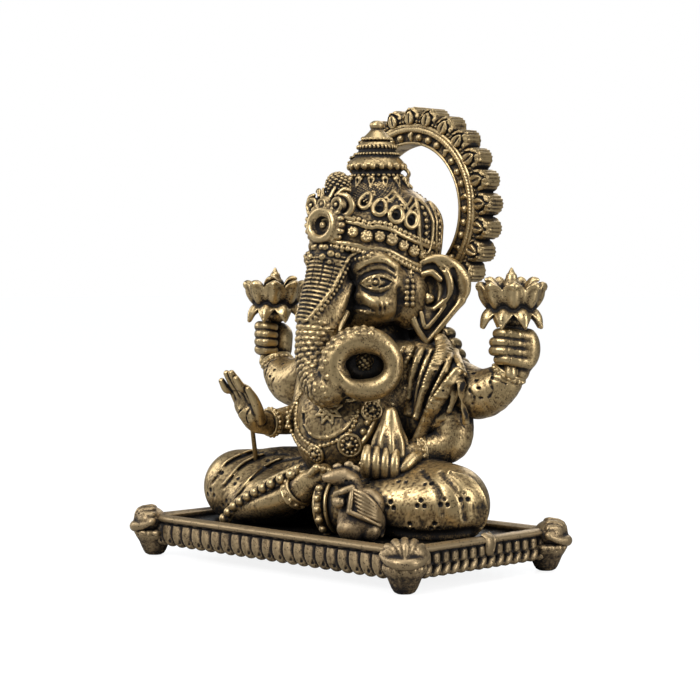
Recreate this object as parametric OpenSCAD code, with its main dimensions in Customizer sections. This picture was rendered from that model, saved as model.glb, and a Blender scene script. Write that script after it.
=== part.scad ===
// Seated Ganesha idol in cast brass on a footed tray, with a petalled halo behind the crown.
// Millimetres, +Z up. The figure faces -Y and its own left side is +X.
// The origin is the centre of the tray's outline on the surface the feet stand on.

/* [Tray] */
// Distance between the foot centres along X
foot_span_x = 70; // [69.5:0.1:70.5]
// Distance between the foot centres along Y
foot_span_y = 39.6; // [39.2:0.1:40]
// Height of a foot with its shell cap
corner_h = 10.3; // [10:0.1:10.6]
// Height of the foot under its shell cap
foot_h = 5.2; // [4.8:0.1:5.6]
// Largest radius of a foot
foot_r = 3.6; // [3.4:0.1:3.8]
// Underside of the rails
rail_z0 = 2.4; // [2.2:0.1:2.6]
// Top of the rails
rail_z1 = 8.4; // [8.2:0.1:8.6]
// Thickness of a rail
rail_t = 2.6; // [2.4:0.1:2.8]
// Top of the tray floor
floor_z = 7; // [6.9:0.1:7.1]
// Thickness of the tray floor
floor_t = 1.8; // [1.5:0.1:2]

/* [Halo] */
// Height of the halo's centre
halo_z = 69.8; // [69.6:0.1:70]
// Front face of the halo
halo_y = 18.4; // [18.2:0.1:18.6]
// Thickness of the halo from front to back
halo_t = 4.9; // [4.6:0.1:5]
// Inner radius of the band
halo_ri = 13.4; // [13.2:0.1:13.6]
// Outer radius of the band, where the petals begin
halo_ro = 17.4; // [17.2:0.1:17.6]
// Radius at the petal tips
halo_tip_r = 21.2; // [21:0.1:21.3]
// Number of petals, an odd number with one at the top
halo_petal_count = 19; // [19:2:21]
// Angle from one petal to the next
halo_step = 14.5; // [14.4:0.1:14.6]

/* [Crown] */
// Position of the crown's axis behind the origin
crown_y = 9; // [8.9:0.1:9.1]
// Height of the widest part of the crown's dome
crown_z = 67.7; // [67.5:0.1:67.9]
// Radius of the dome
crown_r = 12.8; // [12.6:0.1:13]

/* [Figure] */
// Radius of the belly
belly_r = 12.2; // [12:0.1:12.4]
// Sideways position of the upper hands and their flowers
upper_hand_x = 32.9; // [32.6:0.1:33.1]
// Radius of the loop at the end of the trunk
coil_r = 5.8; // [5.6:0.1:5.9]

/* [Hidden] */

$fn = 48;
organic_fn = 14;
fine_fn = 9;
finger_fn = 8;
petal_fn = 7;
bronze = [0.50, 0.41, 0.25];
bright = [0.72, 0.61, 0.40];
dark = [0.34, 0.28, 0.18];
base_tone = [0.56, 0.46, 0.33];

foot_x = foot_span_x / 2;
foot_y = foot_span_y / 2;
rail_out_x = foot_x + 0.9;
rail_out_y = foot_y + 0.9;
rail_in_x = rail_out_x - rail_t;
rail_in_y = rail_out_y - rail_t;
leaf_pitch = 2.9;
leaf_r = 1.0;
moulding_z = 6.6;
halo_span = halo_petal_count * halo_step;
halo_back_y = halo_y + halo_t;
shawl_back_y = 5.4;
flower_z = 48.7;
shell_reach = 4;
shell_rise = 3.1;
shell_rib_r = 0.75;
shell_rim_z = corner_h - shell_rise - shell_rib_r;
shell_knob = [3.4, 0, shell_rim_z, 0.9];
shell_curl = 3.4;

// ---------- shared shapes ----------

// An ellipsoid with half-sizes r, turned by a
module lump(c, r, a = [0, 0, 0], f = organic_fn)
    translate(c) rotate(a) hull() scale(r) sphere(1, $fn = f);

// A smooth round limb through points [x, y, z, radius]
module limb(pts, f = fine_fn)
    for (i = [0 : len(pts) - 2])
        hull() {
            translate([for (k = [0 : 2]) pts[i][k]]) sphere(pts[i][3], $fn = f);
            translate([for (k = [0 : 2]) pts[i + 1][k]]) sphere(pts[i + 1][3], $fn = f);
        }

// The same points, with one more between each pair on a smooth curve
function smoother(p) = [
    for (i = [0 : len(p) - 2]) each [
        p[i],
        let (a = p[max(i - 1, 0)], d = p[min(i + 2, len(p) - 1)])
            (9 * (p[i] + p[i + 1]) - a - d) / 16
    ],
    p[len(p) - 1]
];

// A round-ended plate between points, as thick as twice the radius
module plate(pts, r, f = fine_fn)
    hull() for (p = pts) translate(p) sphere(r, $fn = f);

// A half ball that sits on a face looking along -Y
module front_bead(r)
    rotate([90, 0, 0]) difference() {
        sphere(r);
        translate([0, 0, -r]) cube([2.2 * r, 2.2 * r, 2 * r], center = true);
    }

// A ring of round section, whose axis points along the direction d
module ring(c, d, r_ring, r_wire)
    translate(c)
        rotate([0, acos(d[2] / norm(d)), atan2(d[1], d[0])])
            rotate_extrude() translate([r_ring, 0]) circle(r_wire);

module mirrored(side) scale([side, 1, 1]) children();

// ---------- tray ----------

module tray_floor() color(dark)
    translate([-rail_in_x, -rail_in_y, floor_z - floor_t])
        cube([2 * rail_in_x, 2 * rail_in_y, floor_t]);

// A rail lying along X and facing -Y, with slanted leaves under a plain moulding
module rail(length) {
    leaves = round((length - 2) / leaf_pitch);
    step = (length - 2) / leaves;
    translate([-length / 2, 0, rail_z0 + 0.5]) cube([length, rail_t, moulding_z - rail_z0 - 0.5]);
    translate([-length / 2, -0.45, moulding_z]) cube([length, rail_t + 0.45, rail_z1 - moulding_z]);
    for (i = [0 : leaves - 1])
        translate([(i + 0.5) * step - (length - 2) / 2 - 0.6, 0.5, rail_z0])
            rotate([0, 16, 0]) cylinder(h = moulding_z - rail_z0 + 0.3, r = leaf_r, $fn = 24);
}

module rail_along_x() rail(foot_span_x - 5.2);
module rail_along_y() rail(foot_span_y - 5.2);

module front_rail() color(base_tone) translate([0, -rail_out_y, 0]) rail_along_x();
module back_rail() color(base_tone) rotate(180) translate([0, -rail_out_y, 0]) rail_along_x();
module left_rail() color(base_tone) rotate(90) translate([0, -rail_out_x, 0]) rail_along_y();
module right_rail() color(base_tone) rotate(-90) translate([0, -rail_out_x, 0]) rail_along_y();

// A small binding round the middle of the rail on the figure's left
module rail_clasp() color(base_tone)
    translate([rail_out_x + 0.45, 2, moulding_z]) cube([0.5, 3.2, rail_z1 - moulding_z + 0.2]);

module foot() color(base_tone)
    rotate_extrude() polygon([
        [0, 0], [1.7, 0], [2.2, 0.5], [2.5, 1.2], [2.9, 2.2], [3.4, 3.3], [foot_r, 4.2],
        [3.3, foot_h], [0, foot_h]
    ]);

// A scallop shell that leans outward along +X +Y, fanning up and inward from a knob
module shell() color(base_tone) rotate(45)
    difference() {
        union() {
            lump([0.4, 0, 6.9], [3, 3.8, 2.2]);
            for (side = [-1, 1])
                limb([shell_knob, [2.2, side * shell_curl, shell_rim_z, 0.9]], f = petal_fn);
            for (i = [-3 : 3])
                limb([
                    shell_knob,
                    [0.4, shell_reach * sin(25 * i), shell_rim_z + shell_rise * cos(25 * i), shell_rib_r]
                ], f = petal_fn);
        }
        translate([0, 0, foot_h - 5]) cube([20, 20, 10], center = true);
    }

module at_corner(sx, sy) translate([sx * foot_x, sy * foot_y, 0]) children();

module foot_front_left() at_corner(1, -1) foot();
module foot_front_right() at_corner(-1, -1) foot();
module foot_back_left() at_corner(1, 1) foot();
module foot_back_right() at_corner(-1, 1) foot();
module shell_front_left() at_corner(1, -1) rotate(-90) shell();
module shell_front_right() at_corner(-1, -1) rotate(180) shell();
module shell_back_left() at_corner(1, 1) shell();
module shell_back_right() at_corner(-1, 1) rotate(90) shell();

// ---------- body and legs ----------

module belly_form() lump([0, 2.5, 26.5], [belly_r, 11.6, 12]);

module torso_form() {
    lump([0, 4.5, 14], [13.5, 10.5, 8.5]);
    belly_form();
    lump([0, 5, 37.5], [11, 8.2, 9.5]);
    lump([10.5, 6.5, 39.4], [5, 4.6, 4.6], f = fine_fn);
    lump([12, 8, 29], [6.5, 6, 9], f = fine_fn);
    lump([-10.5, 6.5, 41.5], [5.5, 5, 5], f = fine_fn);
    lump([0, 8.5, 46], [8, 7.5, 5.5], f = fine_fn);
    limb([[0, 9, 44, 6], [0, 11, 51, 5.5]]);
    lump([0, 9, 30], [11, 7.5, 14], f = fine_fn);
}

module above_floor() difference() {
    children();
    translate([0, 0, floor_z - 25]) cube([90, 60, 50], center = true);
}

module torso() color(bronze) above_floor() torso_form();

module right_leg_form() {
    limb(smoother([[-7, 4.2, 14, 8.2], [-18, 0.5, 14, 7.6], [-26.6, -3.9, 13.6, 6.9]]), f = organic_fn);
    limb([[-26.6, -3.9, 13, 6.6], [-18, -8, 11, 4.8], [-8, -9.5, 13, 4.2]]);
    limb([[-18, 0.5, 13, 7], [-14, -6.5, 12, 5.2]]);
    lump([-20, -2, 9.5], [11, 7, 4]);
}

module left_leg_form() {
    limb(smoother([[7, 4.2, 14, 8.2], [18, 3.4, 14.4, 7.6], [26.6, 1.7, 13.9, 6.9]]), f = organic_fn);
    limb(smoother([[26.6, 1.7, 13, 6.6], [17, -4, 13, 5.8], [6.5, -7.8, 12, 5]]));
    lump([19, 0.5, 9.5], [12, 7, 4]);
}

module right_leg() color(bronze) above_floor() difference() {
    right_leg_form();
    torso_form();
    left_leg_form();
}

module left_leg() color(bronze) above_floor() difference() {
    left_leg_form();
    torso_form();
}

// The bare shin and foot of the folded right leg, with five toes
module right_foot_form() {
    limb(smoother([[-17, -12.6, 10.5, 2.2], [-9, -13.2, 11.6, 2.6], [-2, -13.4, 13.6, 2.5]]));
    limb([[-2, -13.4, 13.6, 2.5], [2.6, -12.9, 16.6, 2.3], [5.4, -12.2, 18.8, 1.9]]);
    for (i = [0 : 4])
        lump([5.2 + 0.5 * i, -13.6 + 0.9 * i, 19.9 - 0.25 * i], [0.8, 0.7, 0.8], f = fine_fn);
}

module right_foot() color(bronze) above_floor() difference() {
    right_foot_form();
    right_leg_form();
    left_leg_form();
    torso_form();
}

// Beaded hem of the cloth over the right shin
module right_hem_band() color(bright) above_floor() difference() {
    limb(smoother([
        [-27, -12.2, 7.6, 1.3], [-20, -13.6, 10.6, 1.3], [-12, -14.2, 14.2, 1.2], [-4, -13.6, 17.6, 1.1],
        [1, -12.2, 19.2, 1]
    ]));
    right_leg_form();
    right_foot_form();
    torso_form();
    left_leg_form();
}

// Beaded hem round the left shin
module left_hem_band() color(bright) above_floor()
    ring([5.2, -8.6, 12.1], [0.93, 0.36, 0.1], 5.2, 0.9);

module anklet() color(bright) ring([-1.6, -13.4, 13.8], [0.83, 0.05, 0.55], 2.75, 0.55);

// ---------- head ----------

module head_form() {
    lump([0, 9.1, 60], [11.2, 11, 11]);
    lump([4.6, 1.2, 60.5], [5.4, 5.2, 5.6]);
    lump([-4.6, 1.2, 60.5], [5.4, 5.2, 5.6]);
    lump([6.4, 3.4, 54.2], [5.6, 5.6, 5.4]);
    lump([-6.4, 3.4, 54.2], [5.6, 5.6, 5.4]);
    lump([0, -1, 57.5], [5.8, 6, 7]);
    lump([0, 2.5, 51], [6.5, 6.5, 6], f = fine_fn);
    lump([0, 6, 50], [8.5, 7, 5.5], f = fine_fn);
}

module head() color(bronze) difference() {
    head_form();
    torso_form();
    crown_form();
}

// The loop stands upright and faces the front left, a little wider than it is tall
coil_c = [11.9, -6.9, 39.6];
coil_squash = 0.85;
function coil_point(a) =
    coil_c + coil_r * [cos(a) * 0.7071, cos(a) * 0.7071, sin(a) * coil_squash];
function coil_bead(a, w) = [for (k = [0 : 3]) k < 3 ? coil_point(a)[k] : w];

trunk_path = [
    [0, -2.9, 60, 4.6], [0, -4.6, 55, 4.4], [0, -7.3, 47.6, 4], [0.1, -8.3, 42, 3.7],
    [1.6, -9.1, 37.6, 3.3], [4.8, -10, 35, 2.8]
];
coil_path = [for (i = [0 : 11]) coil_bead(205 - 30 * i, 2.5 - 0.05 * i)];

module trunk_form() limb(concat(smoother(trunk_path), coil_path));

module trunk() color(bronze) difference() {
    trunk_form();
    head_form();
    crown_form();
    torso_form();
}

module tusk() color(bright) difference() {
    limb([[4.2, -5, 48.6, 1.2], [5.4, -7.4, 47.4, 0.9], [6.6, -9.6, 46.6, 0.6]]);
    head_form();
    trunk_form();
}

// A broad folded ear: a dished leaf with a rolled rim
module ear_form() {
    plate([[10.2, 7.6, 58], [16.6, 11.8, 58.6], [13, 9, 50]], 0.7);
    plate([[16.6, 11.8, 58.6], [19.2, 14.2, 54], [13, 9, 50]], 0.7);
    plate([[19.2, 14.2, 54], [15.4, 10, 45.6], [13, 9, 50]], 0.7);
    plate([[10.2, 7.6, 58], [13, 9, 50], [10.4, 7, 50]], 0.8);
    limb([
        [10.4, 7.4, 59, 0.9], [14, 9.8, 60.2, 1.1], [18, 12.6, 59.4, 1.2], [20.4, 14.6, 55.2, 1.2],
        [18.4, 12.2, 50, 1], [15, 9.4, 44.9, 0.8], [12.6, 8, 46.6, 0.8], [10.8, 7.2, 50.4, 0.8]
    ], f = fine_fn);
}

module ear_cut() difference() {
    ear_form();
    head_form();
    torso_form();
}

module left_ear() color(bronze) ear_cut();
module right_ear() color(bronze) mirrored(-1) ear_cut();

module earrings() color(bright)
    for (side = [1, -1]) translate([side * 13.9, 7.4, 53.2]) sphere(1.1, $fn = 24);

module laddu() color(bright) translate([10.9, -5.6, 40]) sphere(1.9, $fn = 32);

// ---------- crown ----------

function dome_arc(r0, a0, a1, n) =
    [for (i = [0 : n]) let (a = a0 + (a1 - a0) * i / n) [r0 * cos(a), r0 * 0.72 * sin(a)]];

module crown_form() translate([0, crown_y, crown_z])
    rotate_extrude()
        polygon(concat([[0, -6.5], [11.4, -6.5]], dome_arc(crown_r, -26, 62, 8), [[0, 8.2]]));

module crown_dome() color(bronze) crown_form();

// Three rope-edged bands round the foot of the dome
module crown_band() color(bright) translate([0, crown_y, 0])
    for (level = [[61.4, 12.1], [63.9, 12.75], [66.4, 13.15]])
        translate([0, 0, level[0]])
            rotate_extrude() translate([level[1], 0]) square([0.9, 1.5], center = true);

module crown_jewel() color(bright) translate([0, crown_y - 11.6, 71]) rotate([72, 0, 0]) {
    rotate_extrude() translate([2.2, 0]) circle(0.55);
    translate([0, 0, -0.6]) cylinder(h = 1.5, r = 2.2);
    translate([0, 0, 0.9]) sphere(0.9, $fn = 24);
    for (i = [-1 : 1])
        translate([i * 2.7, 3.4 - abs(i) * 0.7, -0.5]) cylinder(h = 1.2, r = 1.35 - 0.1 * abs(i));
}

// Neck, spreading canopy and stepped tiers above the dome
module crown_tiers() color(bronze) translate([0, crown_y, 0])
    rotate_extrude() polygon([
        [0, 75.9], [5.6, 75.9], [4.9, 76.6], [4.9, 77.6], [5.9, 78.2], [5.9, 79.1], [5.2, 79.4],
        [5.2, 79.9], [4.5, 80.3], [4.5, 81.2], [3.8, 81.5], [3.7, 82.2], [0, 82.2]
    ]);

module crown_finial() color(bright) translate([0, crown_y, 0])
    rotate_extrude() polygon([
        [0, 82.2], [2.5, 82.2], [2.5, 82.8], [3.1, 83.1], [3, 83.6], [2.1, 84.6], [1.4, 85.4],
        [1.5, 85.9], [1.35, 86.8], [0.8, 87.4], [0, 87.5]
    ]);

module crown_scroll() color(bronze)
    difference() {
        translate([0, crown_y, 0]) for (a = [35, 145])
            rotate(a) translate([6.1, 0, 77.2]) rotate([90, 0, 0]) cylinder(h = 2, r = 1.2, center = true);
        translate([0, crown_y, 70]) cylinder(h = 12, r = 5.95);
    }

// ---------- halo ----------

module on_halo(a) translate([0, halo_y, halo_z]) rotate([0, a, 0]) children();

module halo_arc() translate([0, halo_back_y, halo_z])
    rotate([90, 0, 0]) rotate(90 - halo_span / 2) rotate_extrude(angle = halo_span) children();

module halo_band() color(bronze) halo_arc()
    translate([halo_ri, 0]) square([halo_ro - halo_ri, halo_t]);

function petal_edge(a) = [
    for (p = [[-0.5, 18.5], [-0.42, 19.6], [-0.2, 20.6], [0, halo_tip_r], [0.2, 20.6], [0.42, 19.6]])
        p[1] * [sin(a + p[0] * halo_step), cos(a + p[0] * halo_step)]
];
petal_side = (halo_petal_count - 1) / 2;

module halo_petals() color(bronze) translate([0, halo_back_y, halo_z]) rotate([90, 0, 0])
    linear_extrude(halo_t) difference() {
        polygon(concat(
            [for (i = [-petal_side : petal_side]) each petal_edge(i * halo_step)],
            [[0, 0]]
        ));
        circle(halo_ro, $fn = 96);
    }

module halo_rope() color(bright) difference() {
    translate([0, halo_y, halo_z]) rotate([90, 0, 0]) rotate(90 - halo_span / 2)
        rotate_extrude(angle = halo_span) translate([16.4, 0]) circle(0.5);
    translate([0, halo_y + 5, halo_z]) cube([60, 10, 60], center = true);
}

module halo_beads() color(bright)
    for (a = [-130 : 10 : 130]) on_halo(a) translate([0, 0, 14.9]) front_bead(0.65);

// Two stubs that join the halo's ends to the nape and shoulders
module halo_brackets() color(dark)
    difference() {
        for (side = [1, -1])
            limb(smoother([
                [side * 7, 13, 46.5, 3], [side * 9.6, 17.8, 51, 2.5], [side * 11, 20.8, 56.2, 2.2]
            ]));
        torso_form();
        head_form();
        halo_arc() translate([halo_ri, 0]) square([halo_tip_r - halo_ri, halo_t]);
        translate([0, halo_back_y + 10, 50]) cube([60, 20, 60], center = true);
    }

// ---------- arms ----------

module right_front_arm_form()
    limb(smoother([
        [-13, 6.5, 40, 4.4], [-16.4, 7.2, 33, 3.9], [-16.6, 3.4, 28, 3.4], [-16.2, -6, 27.2, 2.4]
    ]));

module right_front_arm() color(bronze) difference() {
    right_front_arm_form();
    torso_form();
    right_leg_form();
}

// Raised open hand: palm, four fingers and a thumb
module right_front_hand_form() {
    limb([[-16.2, -6, 27.2, 2.3], [-16.6, -8.6, 27.9, 2.3], [-17.4, -10.6, 30.4, 1.9]]);
    plate([[-15.4, -10.6, 30.4], [-19.6, -10.8, 30.4], [-15.8, -8.4, 27.4], [-18.2, -8.4, 27.4]], 1.5);
    for (i = [0 : 3])
        limb([
            [-15.7 - 1.35 * i, -11, 31.2, 0.95], [-16.1 - 1.3 * i, -12.4, 34, 0.85],
            [-16.6 - 1.2 * i, -14.2, 36.6 - 0.3 * abs(i - 1), 0.65]
        ]);
    limb([[-14.8, -9.2, 28.4, 1.1], [-13.8, -11.2, 30.2, 0.9], [-14.2, -12.6, 32, 0.7]]);
}

module right_front_hand() color(bronze) difference() {
    right_front_hand_form();
    right_front_arm_form();
}

module hand_pin() color(dark) difference() {
    hull() {
        translate([-18, -9.4, 26.6]) sphere(0.5, $fn = fine_fn);
        translate([-19.5, -8.2, 18.6]) sphere(0.5, $fn = fine_fn);
    }
    right_leg_form();
    right_front_hand_form();
}

module left_front_arm_form()
    limb([
        [13, 7.5, 38.4, 4.2], [18.6, 8.4, 33, 4.3], [20.8, 8.3, 28.4, 4.3], [21.2, 7.5, 24.8, 3.9],
        [19.4, 5, 23.3, 3.4], [18, 3, 23, 2.5]
    ]);

module left_front_arm() color(bronze) difference() {
    left_front_arm_form();
    torso_form();
    left_leg_form();
}

// Cupped left hand with curled fingers
module left_front_hand_form() {
    limb([[18, 3, 23, 2.5], [17.2, 0, 22.4, 2.6], [16.4, -2.6, 21.8, 2.4]]);
    for (i = [0 : 3])
        limb([
            [14.2 + 1.5 * i, -3.4, 21.2, 1], [13.6 + 1.5 * i, -6, 21.6, 0.95],
            [13.4 + 1.4 * i, -6.8, 23.6, 0.85]
        ]);
    limb([[19, -1.4, 22.4, 1.1], [18.6, -4, 23.6, 0.95], [17.6, -5.6, 24.8, 0.8]]);
}

module left_front_hand() color(bronze) difference() {
    left_front_hand_form();
    left_front_arm_form();
    torso_form();
    left_leg_form();
}

module rear_arm_form(side)
    limb(smoother([
        [side * 12, 8.6, 40, 4.2], [side * 19.5, 9.8, 36.4, 4.6], [side * 25.6, 10.6, 34, 4.8],
        [side * 32.4, 12, 39.4, 2.7]
    ]));

module rear_arm(side) difference() {
    rear_arm_form(side);
    torso_form();
    if (side > 0) left_front_arm_form(); else right_front_arm_form();
}

module right_rear_arm() color(bronze) rear_arm(-1);
module left_rear_arm() color(bronze) rear_arm(1);

// A fist round a flower stem
module rear_hand_form(side) {
    limb([[side * 32.6, 12.05, 41.2, 2.4], [side * upper_hand_x, 12.2, 43, 2.9]]);
    lump([side * upper_hand_x, 12, 43.6], [3.1, 2.9, 3.9]);
    limb([[side * (upper_hand_x - 0.6), 9.9, 41.4, 1.5], [side * (upper_hand_x - 0.6), 9.9, 45.4, 1.5]]);
    for (i = [0 : 3])
        limb([
            [side * (upper_hand_x + 2.4), 10, 41.4 + 1.5 * i, 0.95],
            [side * (upper_hand_x - 0.6), 8.8, 41.2 + 1.5 * i, 1],
            [side * (upper_hand_x - 3), 10.2, 41.2 + 1.5 * i, 0.85]
        ], f = finger_fn);
}

module rear_hand(side) difference() {
    rear_hand_form(side);
    rear_arm_form(side);
    lotus_stem(side);
    translate([side * upper_hand_x, 12, flower_z + 5]) cube([12, 12, 10], center = true);
}

module right_rear_hand() color(bronze) rear_hand(-1);
module left_rear_hand() color(bronze) rear_hand(1);

module bracelets() color(bright) {
    for (side = [-1, 1]) ring([side * 31.4, 11.7, 38.6], [side * 0.62, 0.17, 0.77], 2.95, 0.5);
    ring([-16.2, -4.6, 27.3], [0.03, -1, -0.06], 2.95, 0.5);
    ring([18.5, 3.9, 23.5], [-0.48, -0.82, -0.3], 3.05, 0.5);
}

// ---------- flowers and sweet ----------

module lotus_stem(side) translate([side * upper_hand_x, 11.2, 38.6]) cylinder(h = 8.6, r = 1, $fn = 16);

// An open lotus on a short stem: two rings of pointed petals round a seed head
module lotus(side) {
    lotus_stem(side);
    mirrored(side) translate([upper_hand_x, 12, 0]) {
        lump([0, -0.4, 50.2], [2.45, 2.4, 3.2], f = fine_fn);
        for (i = [0 : 6])
            rotate(i * 360 / 7)
                limb([[1.3, 0.1, 48.5, 0.95], [4, 0, 51.4, 1.15], [6.5, 0, 54.6, 0.45]], f = petal_fn);
        for (i = [0 : 4])
            rotate(i * 72 + 19)
                limb([[0.9, 0.1, 51.1, 1], [2.4, 0, 55, 1.25], [2.6, 0, 58, 0.45]], f = petal_fn);
    }
}

module right_lotus() color(bright) lotus(-1);
module left_lotus() color(bright) lotus(1);

// A pleated sweet: a round foot drawn up to a point
module modak_form() translate([15.4, -2.6, 0]) {
    limb([[0, 0, 25.6, 3], [0, 0, 28, 2.2], [-0.2, 0, 31.2, 0.8]]);
    for (a = [0 : 45 : 315])
        rotate(a + 11) limb([[2.5, 0, 25.4, 0.9], [1.8, 0, 28.4, 0.7], [0.6, 0, 30.7, 0.45]], f = finger_fn);
}

module modak() color(bright) difference() {
    modak_form();
    left_front_hand_form();
    left_front_arm_form();
    torso_form();
}

// ---------- clothing and ornaments ----------

// Long pleats over the left shoulder and upper arm
module shoulder_shawl() color(bronze) difference() {
    for (i = [0 : 5])
        limb(smoother([
            [8 + 1.4 * i, 1.2 + 1.6 * i, 45.5 - 0.3 * i, 1.2],
            [13 + 1.7 * i, 0.4 + 2.1 * i, 39 - 0.4 * i, 1.5],
            [15.5 + 1.5 * i, 1.6 + 2.2 * i, 30 + 0.7 * i, 1.1]
        ]));
    torso_form();
    left_front_arm_form();
    rear_arm_form(1);
    head_form();
    ear_form();
    translate([0, shawl_back_y + 20, 40]) cube([80, 40, 40], center = true);
}

// Curls falling on the shoulders behind the ears
module hair_locks() color(dark) difference() {
    for (side = [-1, 1], i = [0 : 2])
        lump([side * (13.6 + 2 * i), 13.2 - 0.6 * i, 46.8 - 2.2 * i], [1.9, 1.9, 2.4], f = fine_fn);
    torso_form();
    head_form();
    rear_arm_form(1);
    rear_arm_form(-1);
    left_front_arm_form();
    right_front_arm_form();
    ear_form();
    mirrored(-1) ear_form();
}

// The beaded sacred thread that outlines the belly
module belly_garland() color(bright) difference() {
    for (a = [0 : 30 : 330])
        hull() for (b = [a, a + 30])
            translate([7.4 * cos(b) - 1, -6.6 - 2 * (1 - abs(cos(b))), 27.5 + 9 * sin(b)])
                sphere(1.5, $fn = fine_fn);
    torso_form();
    trunk_form();
    right_leg_form();
    left_leg_form();
    right_foot_form();
}

module star_pendant() color(bright) difference() {
    translate([3.2, -7.2, 30.2]) rotate([70, 0, 21]) linear_extrude(1.8)
        polygon([for (i = [0 : 15]) (i % 2 == 0 ? 3.1 : 1.5) * [cos(22.5 * i), sin(22.5 * i)]]);
    belly_form();
    trunk_form();
}

module necklace_medallions() color(bright)
    for (m = [[9.9, -3.2, 30.5], [7.7, -6.5, 24.1], [0.4, -8.6, 22]])
        difference() {
            translate(m) rotate([90, 0, atan2(m[0], 2.5 - m[1])]) cylinder(h = 1.6, r = 2.2, center = true);
            belly_form();
        }

// ---------- mouse ----------

module mouse_form() {
    lump([16.6, -12.4, 11.2], [4.4, 3.8, 4.6]);
    lump([15.2, -12.6, 9.4], [4, 3.6, 3]);
    lump([13.4, -12.6, 14.4], [2.8, 2.9, 3.6]);
    lump([12.2, -12.8, 18.4], [2.3, 2.4, 2.4]);
    limb([[12.2, -12.8, 18.2, 1.9], [13.6, -15, 17.4, 1]]);
    lump([11.4, -11.6, 20.6], [0.7, 0.8, 0.9], f = fine_fn);
    lump([14, -11.8, 20.6], [0.7, 0.8, 0.9], f = fine_fn);
    limb([[12, -14.6, 14.4, 1], [13.4, -16, 12.6, 0.8]]);
}

module mouse() color(bronze) above_floor() difference() {
    mouse_form();
    left_leg_form();
    right_foot_form();
}

// Pleated cloth on the mouse's back and flank
module mouse_saddle() color(bright) above_floor() difference() {
    for (i = [0 : 3])
        limb([
            [15 + 0.9 * i, -15.4 + 0.7 * i, 15.4 - 0.6 * i, 1],
            [18.6 + 0.4 * i, -15.4 + 0.7 * i, 13 - 0.9 * i, 1],
            [20.4, -14.6 + 0.7 * i, 10.4 - 0.6 * i, 0.8]
        ], f = finger_fn);
    mouse_form();
    left_leg_form();
}

tray_floor();
front_rail();
back_rail();
left_rail();
right_rail();
rail_clasp();
foot_front_left();
foot_front_right();
foot_back_left();
foot_back_right();
shell_front_left();
shell_front_right();
shell_back_left();
shell_back_right();
torso();
right_leg();
left_leg();
right_foot();
right_hem_band();
left_hem_band();
anklet();
head();
trunk();
tusk();
left_ear();
right_ear();
earrings();
laddu();
crown_dome();
crown_band();
crown_jewel();
crown_tiers();
crown_finial();
crown_scroll();
halo_band();
halo_petals();
halo_rope();
halo_beads();
halo_brackets();
right_front_arm();
right_front_hand();
hand_pin();
left_front_arm();
left_front_hand();
right_rear_arm();
right_rear_hand();
left_rear_arm();
left_rear_hand();
bracelets();
right_lotus();
left_lotus();
modak();
shoulder_shawl();
hair_locks();
belly_garland();
star_pendant();
necklace_medallions();
mouse();
mouse_saddle();
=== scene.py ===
"""Looks of a small cast-brass Ganesha idol on a footed tray.

Every piece is sculpted as a block of signed distances in millimetres, in the frame of the
CAD model, then turned into a mesh in metres. The figure faces -Y, and +X is its own left.
"""
import math

import bpy
import numpy as np
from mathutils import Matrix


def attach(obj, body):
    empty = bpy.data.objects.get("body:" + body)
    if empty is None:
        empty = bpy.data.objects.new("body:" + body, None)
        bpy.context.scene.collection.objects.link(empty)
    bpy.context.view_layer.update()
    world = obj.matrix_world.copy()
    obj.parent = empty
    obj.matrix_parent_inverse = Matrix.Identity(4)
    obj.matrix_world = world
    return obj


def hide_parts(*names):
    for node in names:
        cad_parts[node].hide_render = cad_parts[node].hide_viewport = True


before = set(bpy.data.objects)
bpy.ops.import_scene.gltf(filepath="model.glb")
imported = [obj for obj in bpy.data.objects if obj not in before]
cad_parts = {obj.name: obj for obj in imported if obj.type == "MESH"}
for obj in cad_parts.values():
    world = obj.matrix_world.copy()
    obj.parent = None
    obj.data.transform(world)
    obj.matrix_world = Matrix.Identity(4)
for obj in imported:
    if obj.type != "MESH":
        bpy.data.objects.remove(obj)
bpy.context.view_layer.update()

import openvdb
from mathutils import Euler, Vector

MM = 0.001  # metres
DIAGONAL = 0.7071  # sine and cosine of 45 degrees
DEGREE = 0.01745  # radians
SPIRAL_TURN = 2.4  # radians from one point to the next, where points spread over a ball
FAR = 6.0  # mm, the distance held where nothing is near
COARSE = 1.0  # cell size, as a multiple of the full one


# ---------- sculpting kit ----------


def soft_min(a, b, k):
    """The smaller of two distances, with a fillet of about k between them."""
    h = np.maximum(k - np.abs(a - b), 0) / k
    return np.minimum(a, b) - h * h * (k / 4)


def smooth_step(value, start, end):
    t = np.clip((value - start) / (end - start), 0, 1)
    return t * t * (3 - 2 * t)


def smooth_path(points, steps=4):
    """More points on a smooth curve through the given ones."""
    p = np.array(points, float)
    p = np.vstack([2 * p[0] - p[1], p, 2 * p[-1] - p[-2]])
    out = []
    for a, b, c, d in zip(p, p[1:], p[2:], p[3:]):
        for i in range(steps):
            t = i / steps
            out.append(
                0.5
                * (2 * b + (c - a) * t + (2 * a - 5 * b + 4 * c - d) * t**2 + (3 * b - a - 3 * c + d) * t**3)
            )
    return np.array([*out, p[-2]])


def unit(v):
    v = np.array(v, float)
    return v / np.linalg.norm(v)


def turns(count, offset=0.0):
    """Angles in radians, spread evenly round a circle."""
    return [2 * math.pi * (i + offset) / count for i in range(count)]


def spoke(u, v, angle):
    """The direction at an angle from axis u toward axis v."""
    return math.cos(angle) * u + math.sin(angle) * v


def face_axes(out):
    """Two axes across a direction: to the side, and up."""
    side = unit(np.cross((0, 0, 1), out))
    return side, np.cross(out, side)


def lengths_along(points):
    """The distance along a route at each of its points."""
    return np.concatenate([[0], np.cumsum(np.linalg.norm(np.diff(points, axis=0), axis=1))])


def point_along(at, lengths, points, values=3):
    """The point of a route at a distance from its start."""
    return np.array([np.interp(at, lengths, np.asarray(points)[:, i]) for i in range(values)])


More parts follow.
